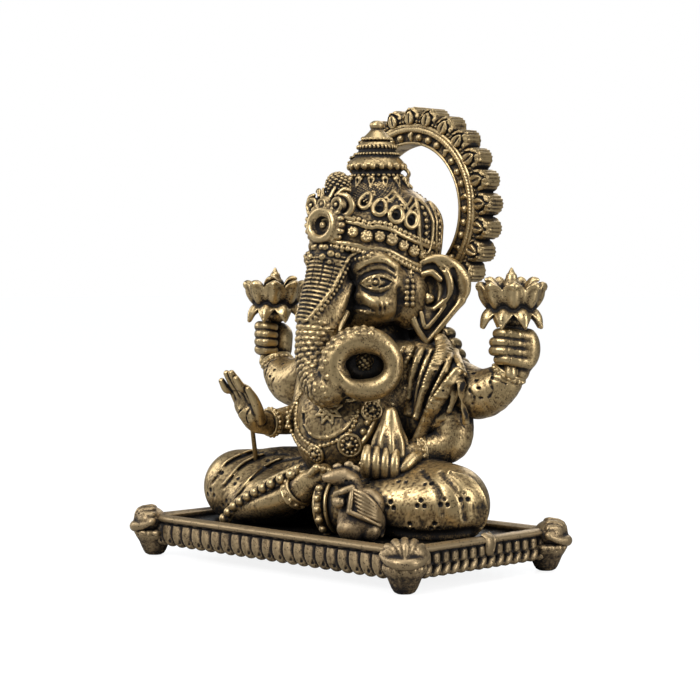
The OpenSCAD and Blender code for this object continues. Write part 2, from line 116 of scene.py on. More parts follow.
class Clay:
    """A block of distances in mm. Shapes are added to it or cut from it."""

    def __init__(self, low, high, step):
        self.step = step * COARSE
        self.low = np.array(low, float)
        counts = np.ceil((np.array(high) - self.low) / self.step).astype(int) + 1
        self.axes = [(lo + self.step * np.arange(n)).astype(np.float32) for lo, n in zip(self.low, counts)]
        self.field = np.full(counts, FAR, np.float32)

    def window(self, low, high):
        spans = []
        for axis, a, b in zip(self.axes, low, high):
            i, j = np.searchsorted(axis, (a, b))
            spans.append(slice(max(int(i) - 1, 0), int(j) + 1))
        return tuple(spans)

    def coords(self, spans):
        shapes = ((-1, 1, 1), (1, -1, 1), (1, 1, -1))
        return [axis[s].reshape(shape) for axis, s, shape in zip(self.axes, spans, shapes)]

    def put(self, shape, low, high, k=0.3, cut=False):
        """Blend in a shape: a function of x, y, z that gives a distance."""
        margin = k + 3 * self.step
        spans = self.window(np.array(low) - margin, np.array(high) + margin)
        old = self.field[spans]
        if old.size:
            new = shape(*self.coords(spans))
            self.field[spans] = -soft_min(-old, new, k) if cut else soft_min(old, new, k)
        return self

    def lump(self, centre, radii, k=0.4, cut=False, turn=None, along=None):
        """An ellipsoid, turned by degrees about X, Y and Z, or with its own three axes."""
        c = np.array(centre, float)
        r = np.broadcast_to(np.array(radii, float), 3)
        m = np.array(Euler([math.radians(a) for a in turn]).to_matrix()) if turn else None
        if along is not None:
            m = np.array(along).T
        reach = r if m is None else np.full(3, r.max())

        def shape(x, y, z):
            p = (x - c[0], y - c[1], z - c[2])
            if m is not None:
                p = [sum(m[j, i] * p[j] for j in range(3)) for i in range(3)]
            a = np.sqrt(sum((q / s) ** 2 for q, s in zip(p, r)))
            b = np.sqrt(sum((q / s**2) ** 2 for q, s in zip(p, r))) + 1e-6
            return a * (a - 1) / b

        return self.put(shape, c - reach, c + reach, k, cut)

    def tube(self, points, k=0.3, cut=False, side=None):
        """A limb through points (x, y, z, radius). With side, the points are
        (x, y, z, half width, half thickness) and the width lies along side."""
        p = np.array(points, float)
        s = None if side is None else unit(side)
        margin = k + 3 * self.step
        reach = p[:, 3].max() + margin
        spans = self.window(p[:, :3].min(0) - reach, p[:, :3].max(0) + reach)
        old = self.field[spans]
        if not old.size:
            return self
        new = np.full(old.shape, FAR, np.float32)
        for a, b in zip(p, p[1:]):
            reach = max(a[3], b[3]) + margin
            near = self.window(np.minimum(a, b)[:3] - reach, np.maximum(a, b)[:3] + reach)
            near = tuple(
                slice(max(n.start, w.start), max(min(n.stop, w.start + size), n.start))
                for n, w, size in zip(near, spans, old.shape)
            )
            local = tuple(slice(n.start - w.start, n.stop - w.start) for n, w in zip(near, spans))
            x, y, z = self.coords(near)
            ab = b[:3] - a[:3]
            px, py, pz = x - a[0], y - a[1], z - a[2]
            t = np.clip((px * ab[0] + py * ab[1] + pz * ab[2]) / max(ab @ ab, 1e-9), 0, 1)
            px, py, pz = px - t * ab[0], py - t * ab[1], pz - t * ab[2]
            square = px * px + py * py + pz * pz
            wide = a[3] + t * (b[3] - a[3])
            if s is None:
                d = np.sqrt(square) - wide
            else:
                thick = a[4] + t * (b[4] - a[4])
                w2 = (px * s[0] + py * s[1] + pz * s[2]) ** 2
                n2 = np.maximum(square - w2, 0)
                q = np.sqrt(w2 / wide**2 + n2 / thick**2)
                d = q * (q - 1) / (np.sqrt(w2 / wide**4 + n2 / thick**4) + 1e-6)
            new[local] = np.minimum(new[local], d)
        self.field[spans] = -soft_min(-old, new, k) if cut else soft_min(old, new, k)
        return self

    def limb(self, points, steps, *rest, **options):
        """A tube on a smooth curve through the points."""
        return self.tube(smooth_path(points, steps), *rest, **options)

    def ring(self, centre, axis, radius, wire, k=0.15, cut=False, tall=1.0):
        """A torus; tall stretches its wire along the axis."""
        c, n = np.array(centre, float), unit(axis)

        def shape(x, y, z):
            p = (x - c[0], y - c[1], z - c[2])
            h = sum(q * m for q, m in zip(p, n))
            flat = np.sqrt(np.maximum(sum(q * q for q in p) - h * h, 0))
            return np.sqrt((flat - radius) ** 2 + (h / tall) ** 2) - wire

        reach = radius + wire * max(tall, 1)
        return self.put(shape, c - reach, c + reach, k, cut)

    def whole(self):
        return self.coords([slice(None)] * 3)

    def emboss(self, height, low=None, high=None):
        """Raise the surface by height(x, y, z) mm, or sink it where that is negative."""
        spans = [slice(None)] * 3 if low is None else self.window(low, high)
        self.field[tuple(spans)] -= height(*self.coords(spans)).astype(np.float32)
        return self

    def keep(self, shape):
        """Keep only what lies inside a shape."""
        self.field = np.maximum(self.field, shape(*self.whole())).astype(np.float32)
        return self

    def seen(self, across, height, turn=45.0):
        """The surface point that shows at (across, height) from a viewer turned about Z."""
        c, s = math.cos(math.radians(turn)), math.sin(math.radians(turn))
        depth = np.arange(60, -60, -self.step / 2)
        points = np.stack([across * c + depth * s, across * s - depth * c, np.full(len(depth), height)], 1)
        index = np.rint((points - self.low) / self.step).astype(int)
        inside = np.all((index >= 0) & (index < self.field.shape), 1)
        points, index = points[inside], index[inside]
        solid = self.field[tuple(index.T)] < 0
        return points[np.argmax(solid)] if solid.any() else points[len(points) // 2]

    def trace(self, route, steps=5, turn=45.0):
        """A smooth route of (across, height) points, dropped onto the surface."""
        return np.array([self.seen(a, h, turn) for a, h in smooth_path(route, steps)])

    def relief(self, points, reach):
        """How far each surface point stands proud of its surroundings, or lies in a hollow."""
        soft = np.clip(self.field, -reach, reach)
        n = max(1, round(reach / self.step))
        for axis in range(3):
            for _ in range(2):
                pad = [(n + 1, n) if i == axis else (0, 0) for i in range(3)]
                total = np.cumsum(np.pad(soft, pad, mode="edge"), axis=axis, dtype=np.float32)
                size = total.shape[axis]
                ahead = np.take(total, range(2 * n + 1, size), axis=axis)
                soft = (ahead - np.take(total, range(size - 2 * n - 1), axis=axis)) / (2 * n + 1)
        index = np.clip(np.rint(points).astype(int), 0, np.array(soft.shape) - 1)
        return soft[tuple(index.T)] / reach

    def mesh(self, name, turn=0.0, at=(0, 0, 0), flip=False, detail=0.003, sharp=None):
        """A mesh in metres, turned about Z and moved, or mirrored in X."""
        grid = openvdb.FloatGrid(FAR)
        grid.copyFromArray(np.pad(self.field, 1, constant_values=FAR))
        points, triangles, quads = grid.convertToPolygons(0.0, detail)
        proud = 1.2 * self.relief(points - 1, 0.4) + 0.8 * self.relief(points - 1, 1.0)
        points = (points - 1) * self.step + self.low
        if flip:
            points = points * (-1, 1, 1)
        c, s = math.cos(math.radians(turn)), math.sin(math.radians(turn))
        points = (points @ np.array([[c, s, 0], [-s, c, 0], [0, 0, 1]]) + at) * MM
        faces = [triangles.ravel(), quads.ravel()]
        if not flip:
            faces = [triangles[:, ::-1].ravel(), quads[:, ::-1].ravel()]
        sizes = np.array([3] * len(triangles) + [4] * len(quads))
        data = bpy.data.meshes.new(name)
        data.vertices.add(len(points))
        data.vertices.foreach_set("co", points.astype(np.float32).ravel())
        data.loops.add(int(sizes.sum()))
        data.loops.foreach_set("vertex_index", np.concatenate(faces).astype(np.int32))
        data.polygons.add(len(sizes))
        data.polygons.foreach_set("loop_start", np.concatenate([[0], np.cumsum(sizes)[:-1]]).astype(np.int32))
        data.update(calc_edges=True)
        data.attributes.new("relief", "FLOAT", "POINT").data.foreach_set("value", proud.astype(np.float32))
        data.shade_smooth()
        if sharp:
            data.set_sharp_from_angle(angle=math.radians(sharp))
        return data


MATERIALS = {}


def show(mesh, slot, *nodes):
    """Put a mesh in the scene in place of CAD nodes."""
    piece = bpy.data.objects.new(mesh.name, mesh)
    bpy.context.collection.objects.link(piece)
    mesh.materials.append(MATERIALS[slot])
    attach(piece, "root")
    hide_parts(*nodes)
    return piece


def cast(clay, name, slot, **finish):
    """Put a sculpted block in the scene, in place of the CAD node of the same name."""
    show(clay.mesh(name, **finish), slot, name)


def block(low, high, r=0.3):
    """A box with rounded edges."""
    low, high = np.array(low, float), np.array(high, float)
    c, h = (low + high) / 2, (high - low) / 2 - r

    def shape(x, y, z):
        q = [np.abs(v - m) - half for v, m, half in zip((x, y, z), c, h)]
        outside = np.sqrt(sum(np.maximum(v, 0) ** 2 for v in q))
        return outside + np.minimum(np.maximum(np.maximum(q[0], q[1]), q[2]), 0) - r

    return shape


def turned(profile, centre=(0, 0), waves=0, wave=0.0, above=-99.0):
    """A turned shape from (z, radius) pairs, with a scalloped edge above a height."""
    heights, radii = np.array(profile, float).T

    def shape(x, y, z):
        px, py = x - centre[0], y - centre[1]
        rho = np.sqrt(px * px + py * py)
        r = np.interp(z, heights, radii)
        if waves:
            r = r + wave * np.cos(waves * np.arctan2(py, px)) * (z > above)
        side = (rho - r) * 0.85
        return np.maximum(np.maximum(side, heights[0] - z), z - heights[-1])

    return shape


def above(level):
    """Everything above a level."""
    return lambda x, y, z: level - z + 0 * x + 0 * y


def facing(across, nearer, height):
    """A point given as seen from the front left: to the right, nearer, and up."""
    return ((across + nearer) / 2**0.5, (across - nearer) / 2**0.5, height)


def spot(across, nearer, height, *sizes):
    """A point as seen from the front left, followed by the sizes of a tube there."""
    return (*facing(across, nearer, height), *sizes)


# ---------- finishes ----------


def brass(name, bright, middle, dark, polish=0.32, patina=1.0, grain=1.0):
    """Cast brass with a dark patina in its hollows, worn bright high spots, and painted shade between and
    under parts.
    """
    material = bpy.data.materials.new(name)
    material.use_nodes = True
    nodes, links = material.node_tree.nodes, material.node_tree.links
    nodes.clear()

    def node(kind, **values):
        made = nodes.new(kind)
        for key, value in values.items():
            if key in made.inputs:
                made.inputs[key].default_value = value
            else:
                setattr(made, key.lower(), value)
        return made

    def maths(operation, a, b, clamp=False):
        made = nodes.new("ShaderNodeMath")
        made.operation = operation
        made.use_clamp = clamp
        for socket, value in zip(made.inputs, (a, b)):
            if isinstance(value, (int, float)):
                socket.default_value = value
            else:
                links.new(value, socket)
        return made.outputs[0]

    def noise(scale, detail, rough=0.55):
        made = node("ShaderNodeTexNoise", Scale=scale, Detail=detail, Roughness=rough)
        links.new(place, made.inputs["Vector"])
        return made.outputs["Fac"]

    place = nodes.new("ShaderNodeTexCoord").outputs["Object"]
    # Closeness of other surfaces: within about 1 mm it marks the patina of fine crevices; within 5 mm it is
    # painted shade between parts and under them.
    near = node("ShaderNodeAmbientOcclusion", Distance=0.0011)
    near.samples = 6
    wide = node("ShaderNodeAmbientOcclusion", Distance=0.005)
    wide.samples = 5
    cloud = noise(260, 4)
    speck = noise(1500, 3)
    open_near = maths("POWER", near.outputs["AO"], 3.2)
    # Painted shade where other parts lie within 5 mm.
    unshaded_wide = maths("POWER", wide.outputs["AO"], 1.1)
    clear_of_patina_and_shade = maths("MULTIPLY", open_near, unshaded_wide)
    mottle = maths("MULTIPLY", maths("SUBTRACT", cloud, 0.56), 1.1 * patina)
    grit = maths("MULTIPLY", maths("SUBTRACT", speck, 0.52), 1.1 * patina)
    proud = nodes.new("ShaderNodeAttribute")
    proud.attribute_name = "relief"
    # Brighter on proud and open places: worn high spots, with less patina and less painted shade.
    rubbed_and_unshaded = maths("ADD", maths("MULTIPLY", clear_of_patina_and_shade, 0.84), maths("MULTIPLY", proud.outputs["Fac"], 1.3))
    wear_and_light = maths("ADD", maths("ADD", rubbed_and_unshaded, mottle), grit, clamp=True)

    # Dark, middle and bright brass, from patina and painted shade to worn high spots, with random mottle and
    # grit.
    ramp = nodes.new("ShaderNodeValToRGB")
    ramp.color_ramp.elements[0].position = 0.28
    ramp.color_ramp.elements[0].color = (*dark, 1)
    ramp.color_ramp.elements[1].position = 1.0
    ramp.color_ramp.elements[1].color = (*bright, 1)
    between = ramp.color_ramp.elements.new(0.62)
    between.color = (*middle, 1)
    links.new(wear_and_light, ramp.inputs["Fac"])

    pits = nodes.new("ShaderNodeTexVoronoi")
    pits.inputs["Scale"].default_value = 1700
    links.new(place, pits.inputs["Vector"])
    pit = maths("LESS_THAN", pits.outputs["Distance"], 0.24)
    sparse = maths("GREATER_THAN", noise(420, 2), 0.5)
    pitted = maths("MULTIPLY", maths("MULTIPLY", pit, sparse), 0.75 * grain)
    mix = nodes.new("ShaderNodeMix")
    mix.data_type = "RGBA"
    links.new(pitted, mix.inputs["Factor"])
    links.new(ramp.outputs["Color"], mix.inputs["A"])
    mix.inputs["B"].default_value = (*dark, 1)

    surface = nodes.new("ShaderNodeBsdfPrincipled")
    links.new(mix.outputs["Result"], surface.inputs["Base Color"])
    links.new(maths("ADD", maths("MULTIPLY", wear_and_light, 0.55), 0.42, clamp=True), surface.inputs["Metallic"])
    rough = maths("SUBTRACT", 0.30 + polish, maths("MULTIPLY", wear_and_light, 0.30))
    links.new(maths("ADD", rough, maths("MULTIPLY", speck, 0.10)), surface.inputs["Roughness"])

    height = maths("SUBTRACT", maths("ADD", maths("MULTIPLY", cloud, 0.5), maths("MULTIPLY", speck, 0.35)),
                   pitted)
    bump = node("ShaderNodeBump", Strength=0.6 * grain, Distance=0.0002)
    links.new(height, bump.inputs["Height"])
    links.new(bump.outputs["Normal"], surface.inputs["Normal"])
    out = nodes.new("ShaderNodeOutputMaterial")
    links.new(surface.outputs["BSDF"], out.inputs["Surface"])
    return material


MATERIALS.update(
    body_brass=brass("body_brass", (0.56, 0.415, 0.212), (0.22, 0.149, 0.068), (0.012, 0.010, 0.010)),
    bright_brass=brass("bright_brass", (0.60, 0.45, 0.235), (0.24, 0.164, 0.078), (0.012, 0.010, 0.010)),
    base_brass=brass("base_brass", (0.43, 0.318, 0.18), (0.18, 0.124, 0.066), (0.015, 0.012, 0.012), 0.42),
    # Dark brass of the tray floor, also used for the painted shadow disc behind the laddu.
    floor_brass=brass("floor_brass", (0.10, 0.085, 0.07), (0.04, 0.033, 0.028), (0.008, 0.008, 0.008),
                      0.05, 0.5, 0.4),
    dark_brass=brass("dark_brass", (0.36, 0.27, 0.14), (0.10, 0.07, 0.035), (0.012, 0.010, 0.010)),
)


# ---------- tray ----------

FLOOR_TOP = 7
FOOT_X, FOOT_Y = 35, 19.8
RAIL_X, RAIL_Y = 35.9, 20.7


def tray_floor():
    clay = Clay((-34.5, -19.5, 4.6), (34.5, 19.5, 7.6), 0.3)
    low, high = (-33.6, -18.4, 5.2), (33.6, 18.4, FLOOR_TOP)
    clay.put(block(low, high, 0.2), low, high, 0.1)
    cast(clay, "tray_floor", "floor_brass", detail=0.3)


def moulding(clay, length):
    """The backing and the half-round top of a rail that lies along X and faces -Y."""
    half = length / 2
    clay.put(block((-half, 0.5, 2.9), (half, 2.6, 8), 0.3), (-half, 0.5, 2.9), (half, 2.6, 8), 0.2)
    clay.tube([(-half, 0.75, 7.55, 1.45, 0.8), (half, 0.75, 7.55, 1.45, 0.8)], 0.3, side=(0, 1, 0))
    clay.tube([(-half, 0.1, 6.75, 0.16), (half, 0.1, 6.75, 0.16)], 0.1, cut=True)


def leaf_rail():
    """Curling leaves, each hooked at its foot, under a plain moulding."""
    length = 2 * FOOT_X - 2.4
    clay = Clay((-length / 2 - 0.6, -1.2, 2), (length / 2 + 0.6, 3.1, 9), 0.16)
    moulding(clay, length)
    count = 23
    step = length / count
    for i in range(count):
        x = (i + 0.5) * step - length / 2
        leaf = [(x - 0.1, 0.45, 6.7, 1.45, 0.75), (x - 0.1, 0.25, 5.4, 1.48, 0.9),
                (x + 0.05, 0.15, 4.3, 1.45, 0.95),
                (x + 0.4, 0.2, 3.4, 1.3, 0.85), (x + 0.6, 0.45, 2.8, 1.1, 0.6)]
        clay.limb(leaf, 3, 0.06, side=(1, 0.3, 0))
    for i in range(count + 1):
        x = i * step - length / 2
        gap = [(x - 0.1, -0.35, 6.6, 0.26), (x - 0.12, -0.45, 5.4, 0.34), (x + 0.1, -0.45, 4.3, 0.38),
               (x + 0.55, -0.35, 3.5, 0.36), (x + 0.95, -0.05, 2.9, 0.3)]
        clay.limb(gap, 3, 0.12, cut=True)
        hook = [(x + 0.2, -0.7, 4, 0.22), (x - 0.4, -0.65, 3.8, 0.28), (x - 0.6, -0.45, 3.2, 0.28)]
        clay.tube(hook, 0.12, cut=True)
    clay.put(block((-40, -3, 6.6), (40, 0.3, 6.78), 0.05), (-40, -1, 6.6), (40, 0.3, 6.78), 0.1, cut=True)
    return clay


def bead_rail():
    """A row of barrels over a row of slanting strands."""
    length = 2 * FOOT_Y - 2.4
    clay = Clay((-length / 2 - 0.6, -1.2, 1.9), (length / 2 + 0.6, 3.1, 9), 0.16)
    moulding(clay, length)
    count = 15
    step = length / count
    for i in range(count):
        x = (i + 0.5) * step - length / 2
        clay.tube([(x, 0.45, 5.2, 1.12, 0.95), (x, 0.45, 6.2, 1.12, 0.95)], 0.08, side=(1, 0, 0))
        strand = [(x - 1.1, 0.35, 2.9, 0.55), (x - 0.3, 0.05, 3.2, 0.85), (x + 0.5, 0.15, 4.1, 0.75),
                  (x + 0.9, 0.4, 4.6, 0.5)]
        clay.limb(strand, 3, 0.08)
        clay.lump((x + 0.75, 0.1, 3), (0.5, 0.5, 0.5), 0.1)
    clay.tube([(-length / 2, 0.3, 4.72, 0.3), (length / 2, 0.3, 4.72, 0.3)], 0.1)
    return clay


def rails():
    leaves, barrels = leaf_rail(), bead_rail()
    show(leaves.mesh("front_rail", 0, (0, -RAIL_Y, 0)), "base_brass", "front_rail")
    show(leaves.mesh("back_rail", 180, (0, RAIL_Y, 0)), "base_brass", "back_rail")
    show(barrels.mesh("left_rail", 90, (RAIL_X, 0, 0)), "base_brass", "left_rail")
    show(barrels.mesh("right_rail", -90, (-RAIL_X, 0, 0)), "base_brass", "right_rail")
    clasp = Clay((34, -1, 3.8), (37.6, 5, 9.2), 0.12)
    band = [(35.3, 1.6, 8.6, 1.1, 0.35), (36.3, 1.7, 7.9, 1.1, 0.5), (36.5, 1.6, 6.8, 1.15, 0.45),
            (36.2, 1.7, 5.6, 1, 0.4), (35.9, 2, 4.9, 0.7, 0.3)]
    clasp.limb(band, 3, 0.3, side=(0, 1, 0))
    clasp.tube([(35.2, 2.9, 8.6, 0.4), (36.5, 2.9, 7.6, 0.45), (36.3, 2.8, 5.6, 0.3)], 0.2)
    cast(clasp, "rail_clasp", "base_brass")


def shell_clay():
    """A scallop that leans out along +X, its ribs fanning up from a rounded lip."""
    clay = Clay((-4, -5.4, 4.2), (5.4, 5.4, 10.9), 0.12)
    clay.lump((0.7, 0, 7.1), (3, 4, 2.6), 0.3)
    for i in range(-3, 4):
        a = math.radians(27 * i)
        rib = [
            (3.9 - 0.5 * abs(math.sin(a)), 0.7 * math.sin(a), 6.7, 0.45),
            (2.9 - 1.0 * abs(math.sin(a)), 2.4 * math.sin(a), 7.2 + 1.6 * math.cos(a), 0.85),
            (0.6 - 0.4 * abs(math.sin(a)), 3.7 * math.sin(a), 6.7 + 2.7 * math.cos(a), 0.85),
        ]
        clay.limb(rib, 3, 0.08)
    lip = [(0.4, -4.1, 6.9, 0.5), (2.05, -3.1, 6.2, 0.78), (3.6, -1.6, 5.9, 1.05), (3.95, 0, 5.8, 1.1)]
    lip = lip + [(x, -y, z, r) for x, y, z, r in lip[-2::-1]]
    clay.limb(lip, 4, 0.25)
    return clay


def foot_clay():
    """A bell-shaped foot with a scalloped upper rim."""
    clay = Clay((-4.6, -4.6, -0.4), (4.6, 4.6, 5.8), 0.14)
    profile = [(0, 1.3), (0.3, 1.9), (0.9, 2.3), (1.8, 2.7), (2.8, 3.1), (3.8, 3.75), (4.6, 4.05),
               (5.1, 3.9), (5.4, 3.2)]
    clay.put(turned(profile, waves=14, wave=0.14, above=4.2), (-4.3, -4.3, 0), (4.3, 4.3, 5.4), 0.3)
    return clay


def corners():
    shell, foot = shell_clay(), foot_clay()
    for x, y, name, turn in (
        (1, -1, "front_left", -45),
        (-1, -1, "front_right", -135),
        (1, 1, "back_left", 45),
        (-1, 1, "back_right", 135),
    ):
        at = (x * FOOT_X, y * FOOT_Y, 0)
        show(shell.mesh("shell_" + name, turn, at), "base_brass", "shell_" + name)
        show(foot.mesh("foot_" + name, turn, at), "base_brass", "foot_" + name)


# ---------- body and legs ----------


BELLY = ((0, 2.5, 26.5), (12.2, 11.6, 12))
CHEST = ((0, 5, 37.5), (11, 8.2, 9.5))
LEFT_SHOULDER = ((10.5, 6.5, 39.4), (5, 4.6, 4.6))
RIGHT_SHOULDER = ((-10.5, 6.5, 41.5), (5.5, 5, 5))
LEFT_SIDE = ((12, 8, 29), (6.5, 6, 9))


def body_lumps(clay, *forms):
    """The main swellings of the body, which the dress also lies on."""
    for centre, radii in forms:
        clay.lump(centre, radii, 2)


def torso():
    clay = Clay((-17.5, -10.5, 6.8), (17.5, 17, 57), 0.24)
    clay.lump((0, 4.5, 14), (13.5, 10.5, 8.5), 2)
    body_lumps(clay, BELLY, CHEST, LEFT_SHOULDER, RIGHT_SHOULDER, LEFT_SIDE)
    clay.lump((0, 8.5, 46), (8, 7.5, 5.5), 2)
    clay.tube([(0, 9, 44, 6), (0, 11, 51, 5.5)], 2)
    clay.lump((0, 9, 30), (11, 7.5, 14), 2)
    spine = [(0, 17.4, 26, 0.5), (0, 16.9, 34, 0.6), (0, 15.6, 42, 0.5)]
    clay.tube(spine, 1.5, cut=True)
    waist = [(-12, 5.2, 18.4, 0.6), (-9.4, 10, 18, 0.8), (-5, 13, 17.8, 0.8), (0, 14.1, 17.6, 0.8),
             (5, 13, 17.8, 0.8), (9.4, 10, 18, 0.8), (12, 5.2, 18.4, 0.6)]
    clay.limb(waist, 4, 0.3)
    panel_rim = [(-8.2, 31), (-8, 27.5), (-6.2, 25.6), (-3.6, 25.4), (-0.3, 26.9), (2.2, 29.6)]
    rim = clay.trace(panel_rim, 4)
    clay.tube([(*p, 0.3) for p in rim], 0.15)
    clay.tube([(p[0] + 0.35, p[1] - 0.1, p[2] - 0.8, 0.3) for p in rim], 0.2, cut=True)
    clay.keep(above(FLOOR_TOP))
    cast(clay, "torso", "body_brass")


def triple_dots(clay, places, turn=45.0, size=0.42):
    """Groups of three small hollows."""
    for across, height in places:
        for a in (90, 210, 330):
            p = clay.seen(across + 0.75 * math.cos(math.radians(a)),
                          height + 0.7 * math.sin(math.radians(a)), turn)
            clay.lump(p, size, 0.12, cut=True)


def right_leg():
    clay = Clay((-34.5, -16, 6.6), (2, 12.8, 23.5), 0.2)
    clay.limb([(-7, 4.2, 14, 8.2), (-18, 0.5, 14, 7.6), (-26.6, -3.9, 13.6, 6.9)], 4, 2)
    clay.tube([(-26.6, -3.9, 13, 6.6), (-18, -8, 11, 4.8), (-8, -9.5, 13, 4.2)], 3)
    clay.tube([(-18, 0.5, 13, 7), (-14, -6.5, 12, 5.2)], 3)
    clay.lump((-20, -2, 9.5), (11, 7, 4), 2)
    folds = [
        [(-11.5, 20.7), (-16, 20.2), (-21, 18), (-24.5, 14)],
        [(-9, 20.2), (-14, 19), (-18.5, 16.2), (-21.6, 12.4)],
        [(-7.6, 19), (-12, 17.4), (-15.6, 14.6), (-18.6, 11)],
        [(-6.6, 17.6), (-10, 15.6), (-13.4, 12.8), (-16, 9.8)],
        [(-13.8, 20.9), (-19, 20.5), (-24, 18.4), (-27, 14.6)],
    ]
    for fold in folds:
        route = clay.trace(fold, 5)
        wide = 0.17 * np.sin(np.linspace(0.25, math.pi - 0.1, len(route))) + 0.04
        clay.tube([(*p, w) for p, w in zip(route, wide)], 0.7, cut=True)
        clay.tube([(p[0], p[1], p[2] + 0.6, w * 0.8) for p, w in zip(route[4:], wide[4:])], 0.9)
    triple_dots(clay, [(-21.6, 15.2), (-25.6, 17), (-19.4, 11.4), (-27.4, 12.4), (-15.6, 18.6), (-24, 10.6)])
    clay.keep(above(FLOOR_TOP))
    cast(clay, "right_leg", "body_brass")


def left_leg():
    clay = Clay((-2, -14, 6.6), (34.4, 13, 23.5), 0.2)
    clay.limb([(7, 4.2, 14, 8.2), (18, 3.4, 14.4, 7.6), (26.6, 1.7, 13.9, 6.9)], 4, 2)
    clay.limb([(26.6, 1.7, 13, 6.6), (17, -4, 13, 5.8), (6.5, -7.8, 12, 5)], 4, 3)
    clay.lump((19, 0.5, 9.5), (12, 7, 4), 2)
    folds = [
        [(14.6, 20), (17.4, 16.6), (18, 12.6)],
        [(18, 20), (21.4, 16), (22.4, 11.6)],
    ]
    for fold in folds:
        route = clay.trace(fold, 6)
        wide = 0.09 * np.sin(np.linspace(0.2, math.pi - 0.1, len(route))) + 0.02
        clay.tube([(*p, w) for p, w in zip(route, wide)], 1.1, cut=True)
    hem = clay.trace([(19.6, 20), (23.6, 18.6), (26, 15.2), (26.4, 11), (24.6, 8.4)], 6)
    clay.tube([(*p, 0.42) for p in hem], 0.3)
    clay.tube([(p[0] + 0.6, p[1] - 0.2, p[2], 0.3) for p in hem], 0.25, cut=True)
    bottom = clay.trace([(6, 9.2), (10, 8.4), (14.5, 8.2), (19, 8.6), (23.6, 9)], 5)
    clay.tube([(*p, 0.5) for p in bottom], 1.4, cut=True)
    triple_dots(clay, [(8.6, 13.6), (14.2, 14.2), (18.4, 14.6), (3.9, 17.9), (12.2, 9.6), (16.8, 10),
                       (22.2, 15.6)])
    triple_dots(clay, [(10.8, 18.4), (15.6, 18.2)])
    clay.keep(above(FLOOR_TOP))
    cast(clay, "left_leg", "body_brass")


def toes_and_shin():
    clay = Clay((-21, -16.4, 6.8), (9.5, -7, 23), 0.16)
    shin = [(-17, -11.6, 10, 2.4), (-9, -12.4, 11.8, 2.7), (-2.6, -12.2, 14, 2.6), (0.6, -11.8, 15.6, 2.5)]
    clay.limb(shin, 4, 0.8)
    clay.tube([(0.6, -11.8, 15.6, 2.5), (3.4, -11.5, 17.4, 2.2), (5.6, -11.2, 19, 1.7)], 1)
    clay.lump((1.6, -11.6, 17), (2.6, 2.2, 1.9), 1, turn=(0, -40, 0))
    for i in range(5):
        x, y, z = 5.6 + 0.62 * i, -13.2 + 0.95 * i, 19.9 - 0.28 * i
        r = 0.85 - 0.07 * i
        clay.tube([(x - 1.6, y + 0.1, z - 1.2, r), (x, y, z, r)], 0.15)
        clay.lump((x + 0.2, y - 0.1, z + 0.15), (r * 1.05, r, r * 0.95), 0.15)
    clay.keep(above(FLOOR_TOP))
    cast(clay, "right_foot", "body_brass")


def hem_bands():
    """Broad hems with a row of large beads between two ridges."""
    route = smooth_path([(-21.8, -12.6, 7.4), (-17.8, -13.5, 10.4), (-12.6, -13.9, 13.2),
                         (-6, -13.8, 16.2), (-1, -12.6, 18.4)], 8)
    clay = Clay((-30, -16.6, 6.6), (4, -8, 22), 0.15)
    clay.tube([(*p, 1.75, 0.8) for p in route], 0.3, side=(0.3, 0, 1))
    clay.tube([(p[0] + 0.5, p[1] + 0.3, p[2] + 1.5, 0.4) for p in route], 0.15)
    clay.tube([(p[0] - 0.2, p[1] + 0.2, p[2] - 1.5, 0.42) for p in route], 0.15)
    clay.tube([(p[0] + 0.1, p[1] - 0.75, p[2], 0.6) for p in route], 0.4, cut=True)
    lengths = lengths_along(route)
    for at in np.linspace(0.9, lengths[-1] - 0.6, 10):
        p = point_along(at, lengths, route)
        clay.lump((p[0] + 0.1, p[1] - 0.5, p[2]), 1.05, 0.08)
    clay.keep(above(FLOOR_TOP))
    cast(clay, "right_hem_band", "bright_brass")

    centre, axis = np.array((5.2, -8.8, 12.2)), unit((0.95, 0.3, 0.1))
    clay = Clay((0, -16, 6.6), (10.5, -1.5, 19.4), 0.14)
    clay.ring(centre, axis, 5.1, 0.75, 0.2)
    clay.ring(centre + 1.35 * axis, axis, 5.2, 0.36, 0.2)
    clay.ring(centre - 1.1 * axis, axis, 5.0, 0.4, 0.2)
    u = unit(np.cross(axis, (0, 0, 1)))
    v = np.cross(axis, u)
    for a in turns(17):
        clay.lump(centre + 5.75 * spoke(u, v, a), 0.78, 0.08)
    clay.keep(above(FLOOR_TOP))
    cast(clay, "left_hem_band", "bright_brass")


def anklet():
    centre, axis = np.array((-1.2, -12.1, 14.6)), unit((0.83, 0.05, 0.55))
    clay = Clay((-5.6, -16.2, 9.8), (3.4, -8, 19.4), 0.12)
    clay.ring(centre, axis, 2.75, 0.34, 0.2, tall=3)
    clay.ring(centre + 0.95 * axis, axis, 2.95, 0.25, 0.1)
    clay.ring(centre - 0.95 * axis, axis, 2.95, 0.25, 0.1)
    u = unit(np.cross(axis, (0, 0, 1)))
    v = np.cross(axis, u)
    for a in turns(12):
        radial = spoke(u, v, a)
        around = np.cross(axis, radial)
        clay.lump(centre + 3.05 * radial, (0.5, 0.5, 0.45), 0.06, along=(axis, around, radial))
        clay.lump(centre + 3.45 * radial, 0.17, 0.05, cut=True)
    cast(clay, "anklet", "bright_brass")


# ---------- head, trunk and ears ----------

ROOT_Z = [43, 47.6, 51, 55.4, 60, 63]
ROOT_Y = [-8.1, -7.3, -6.2, -4.4, -2.9, -0.6]
ROOT_R = [3.8, 4.0, 4.2, 4.5, 4.8, 4.5]
NET_Z = [47.4, 48.4, 50.6, 52.2, 54, 56.3, 59.2, 61.4]
NET_EDGE = [18, 44, 57, 63, 70, 74, 84, 92]
SEAM_Z = 46.2
COIL = np.array((11.5, -6.5, 39.6))
COIL_WIDE, COIL_TALL = 5.8, 4.9


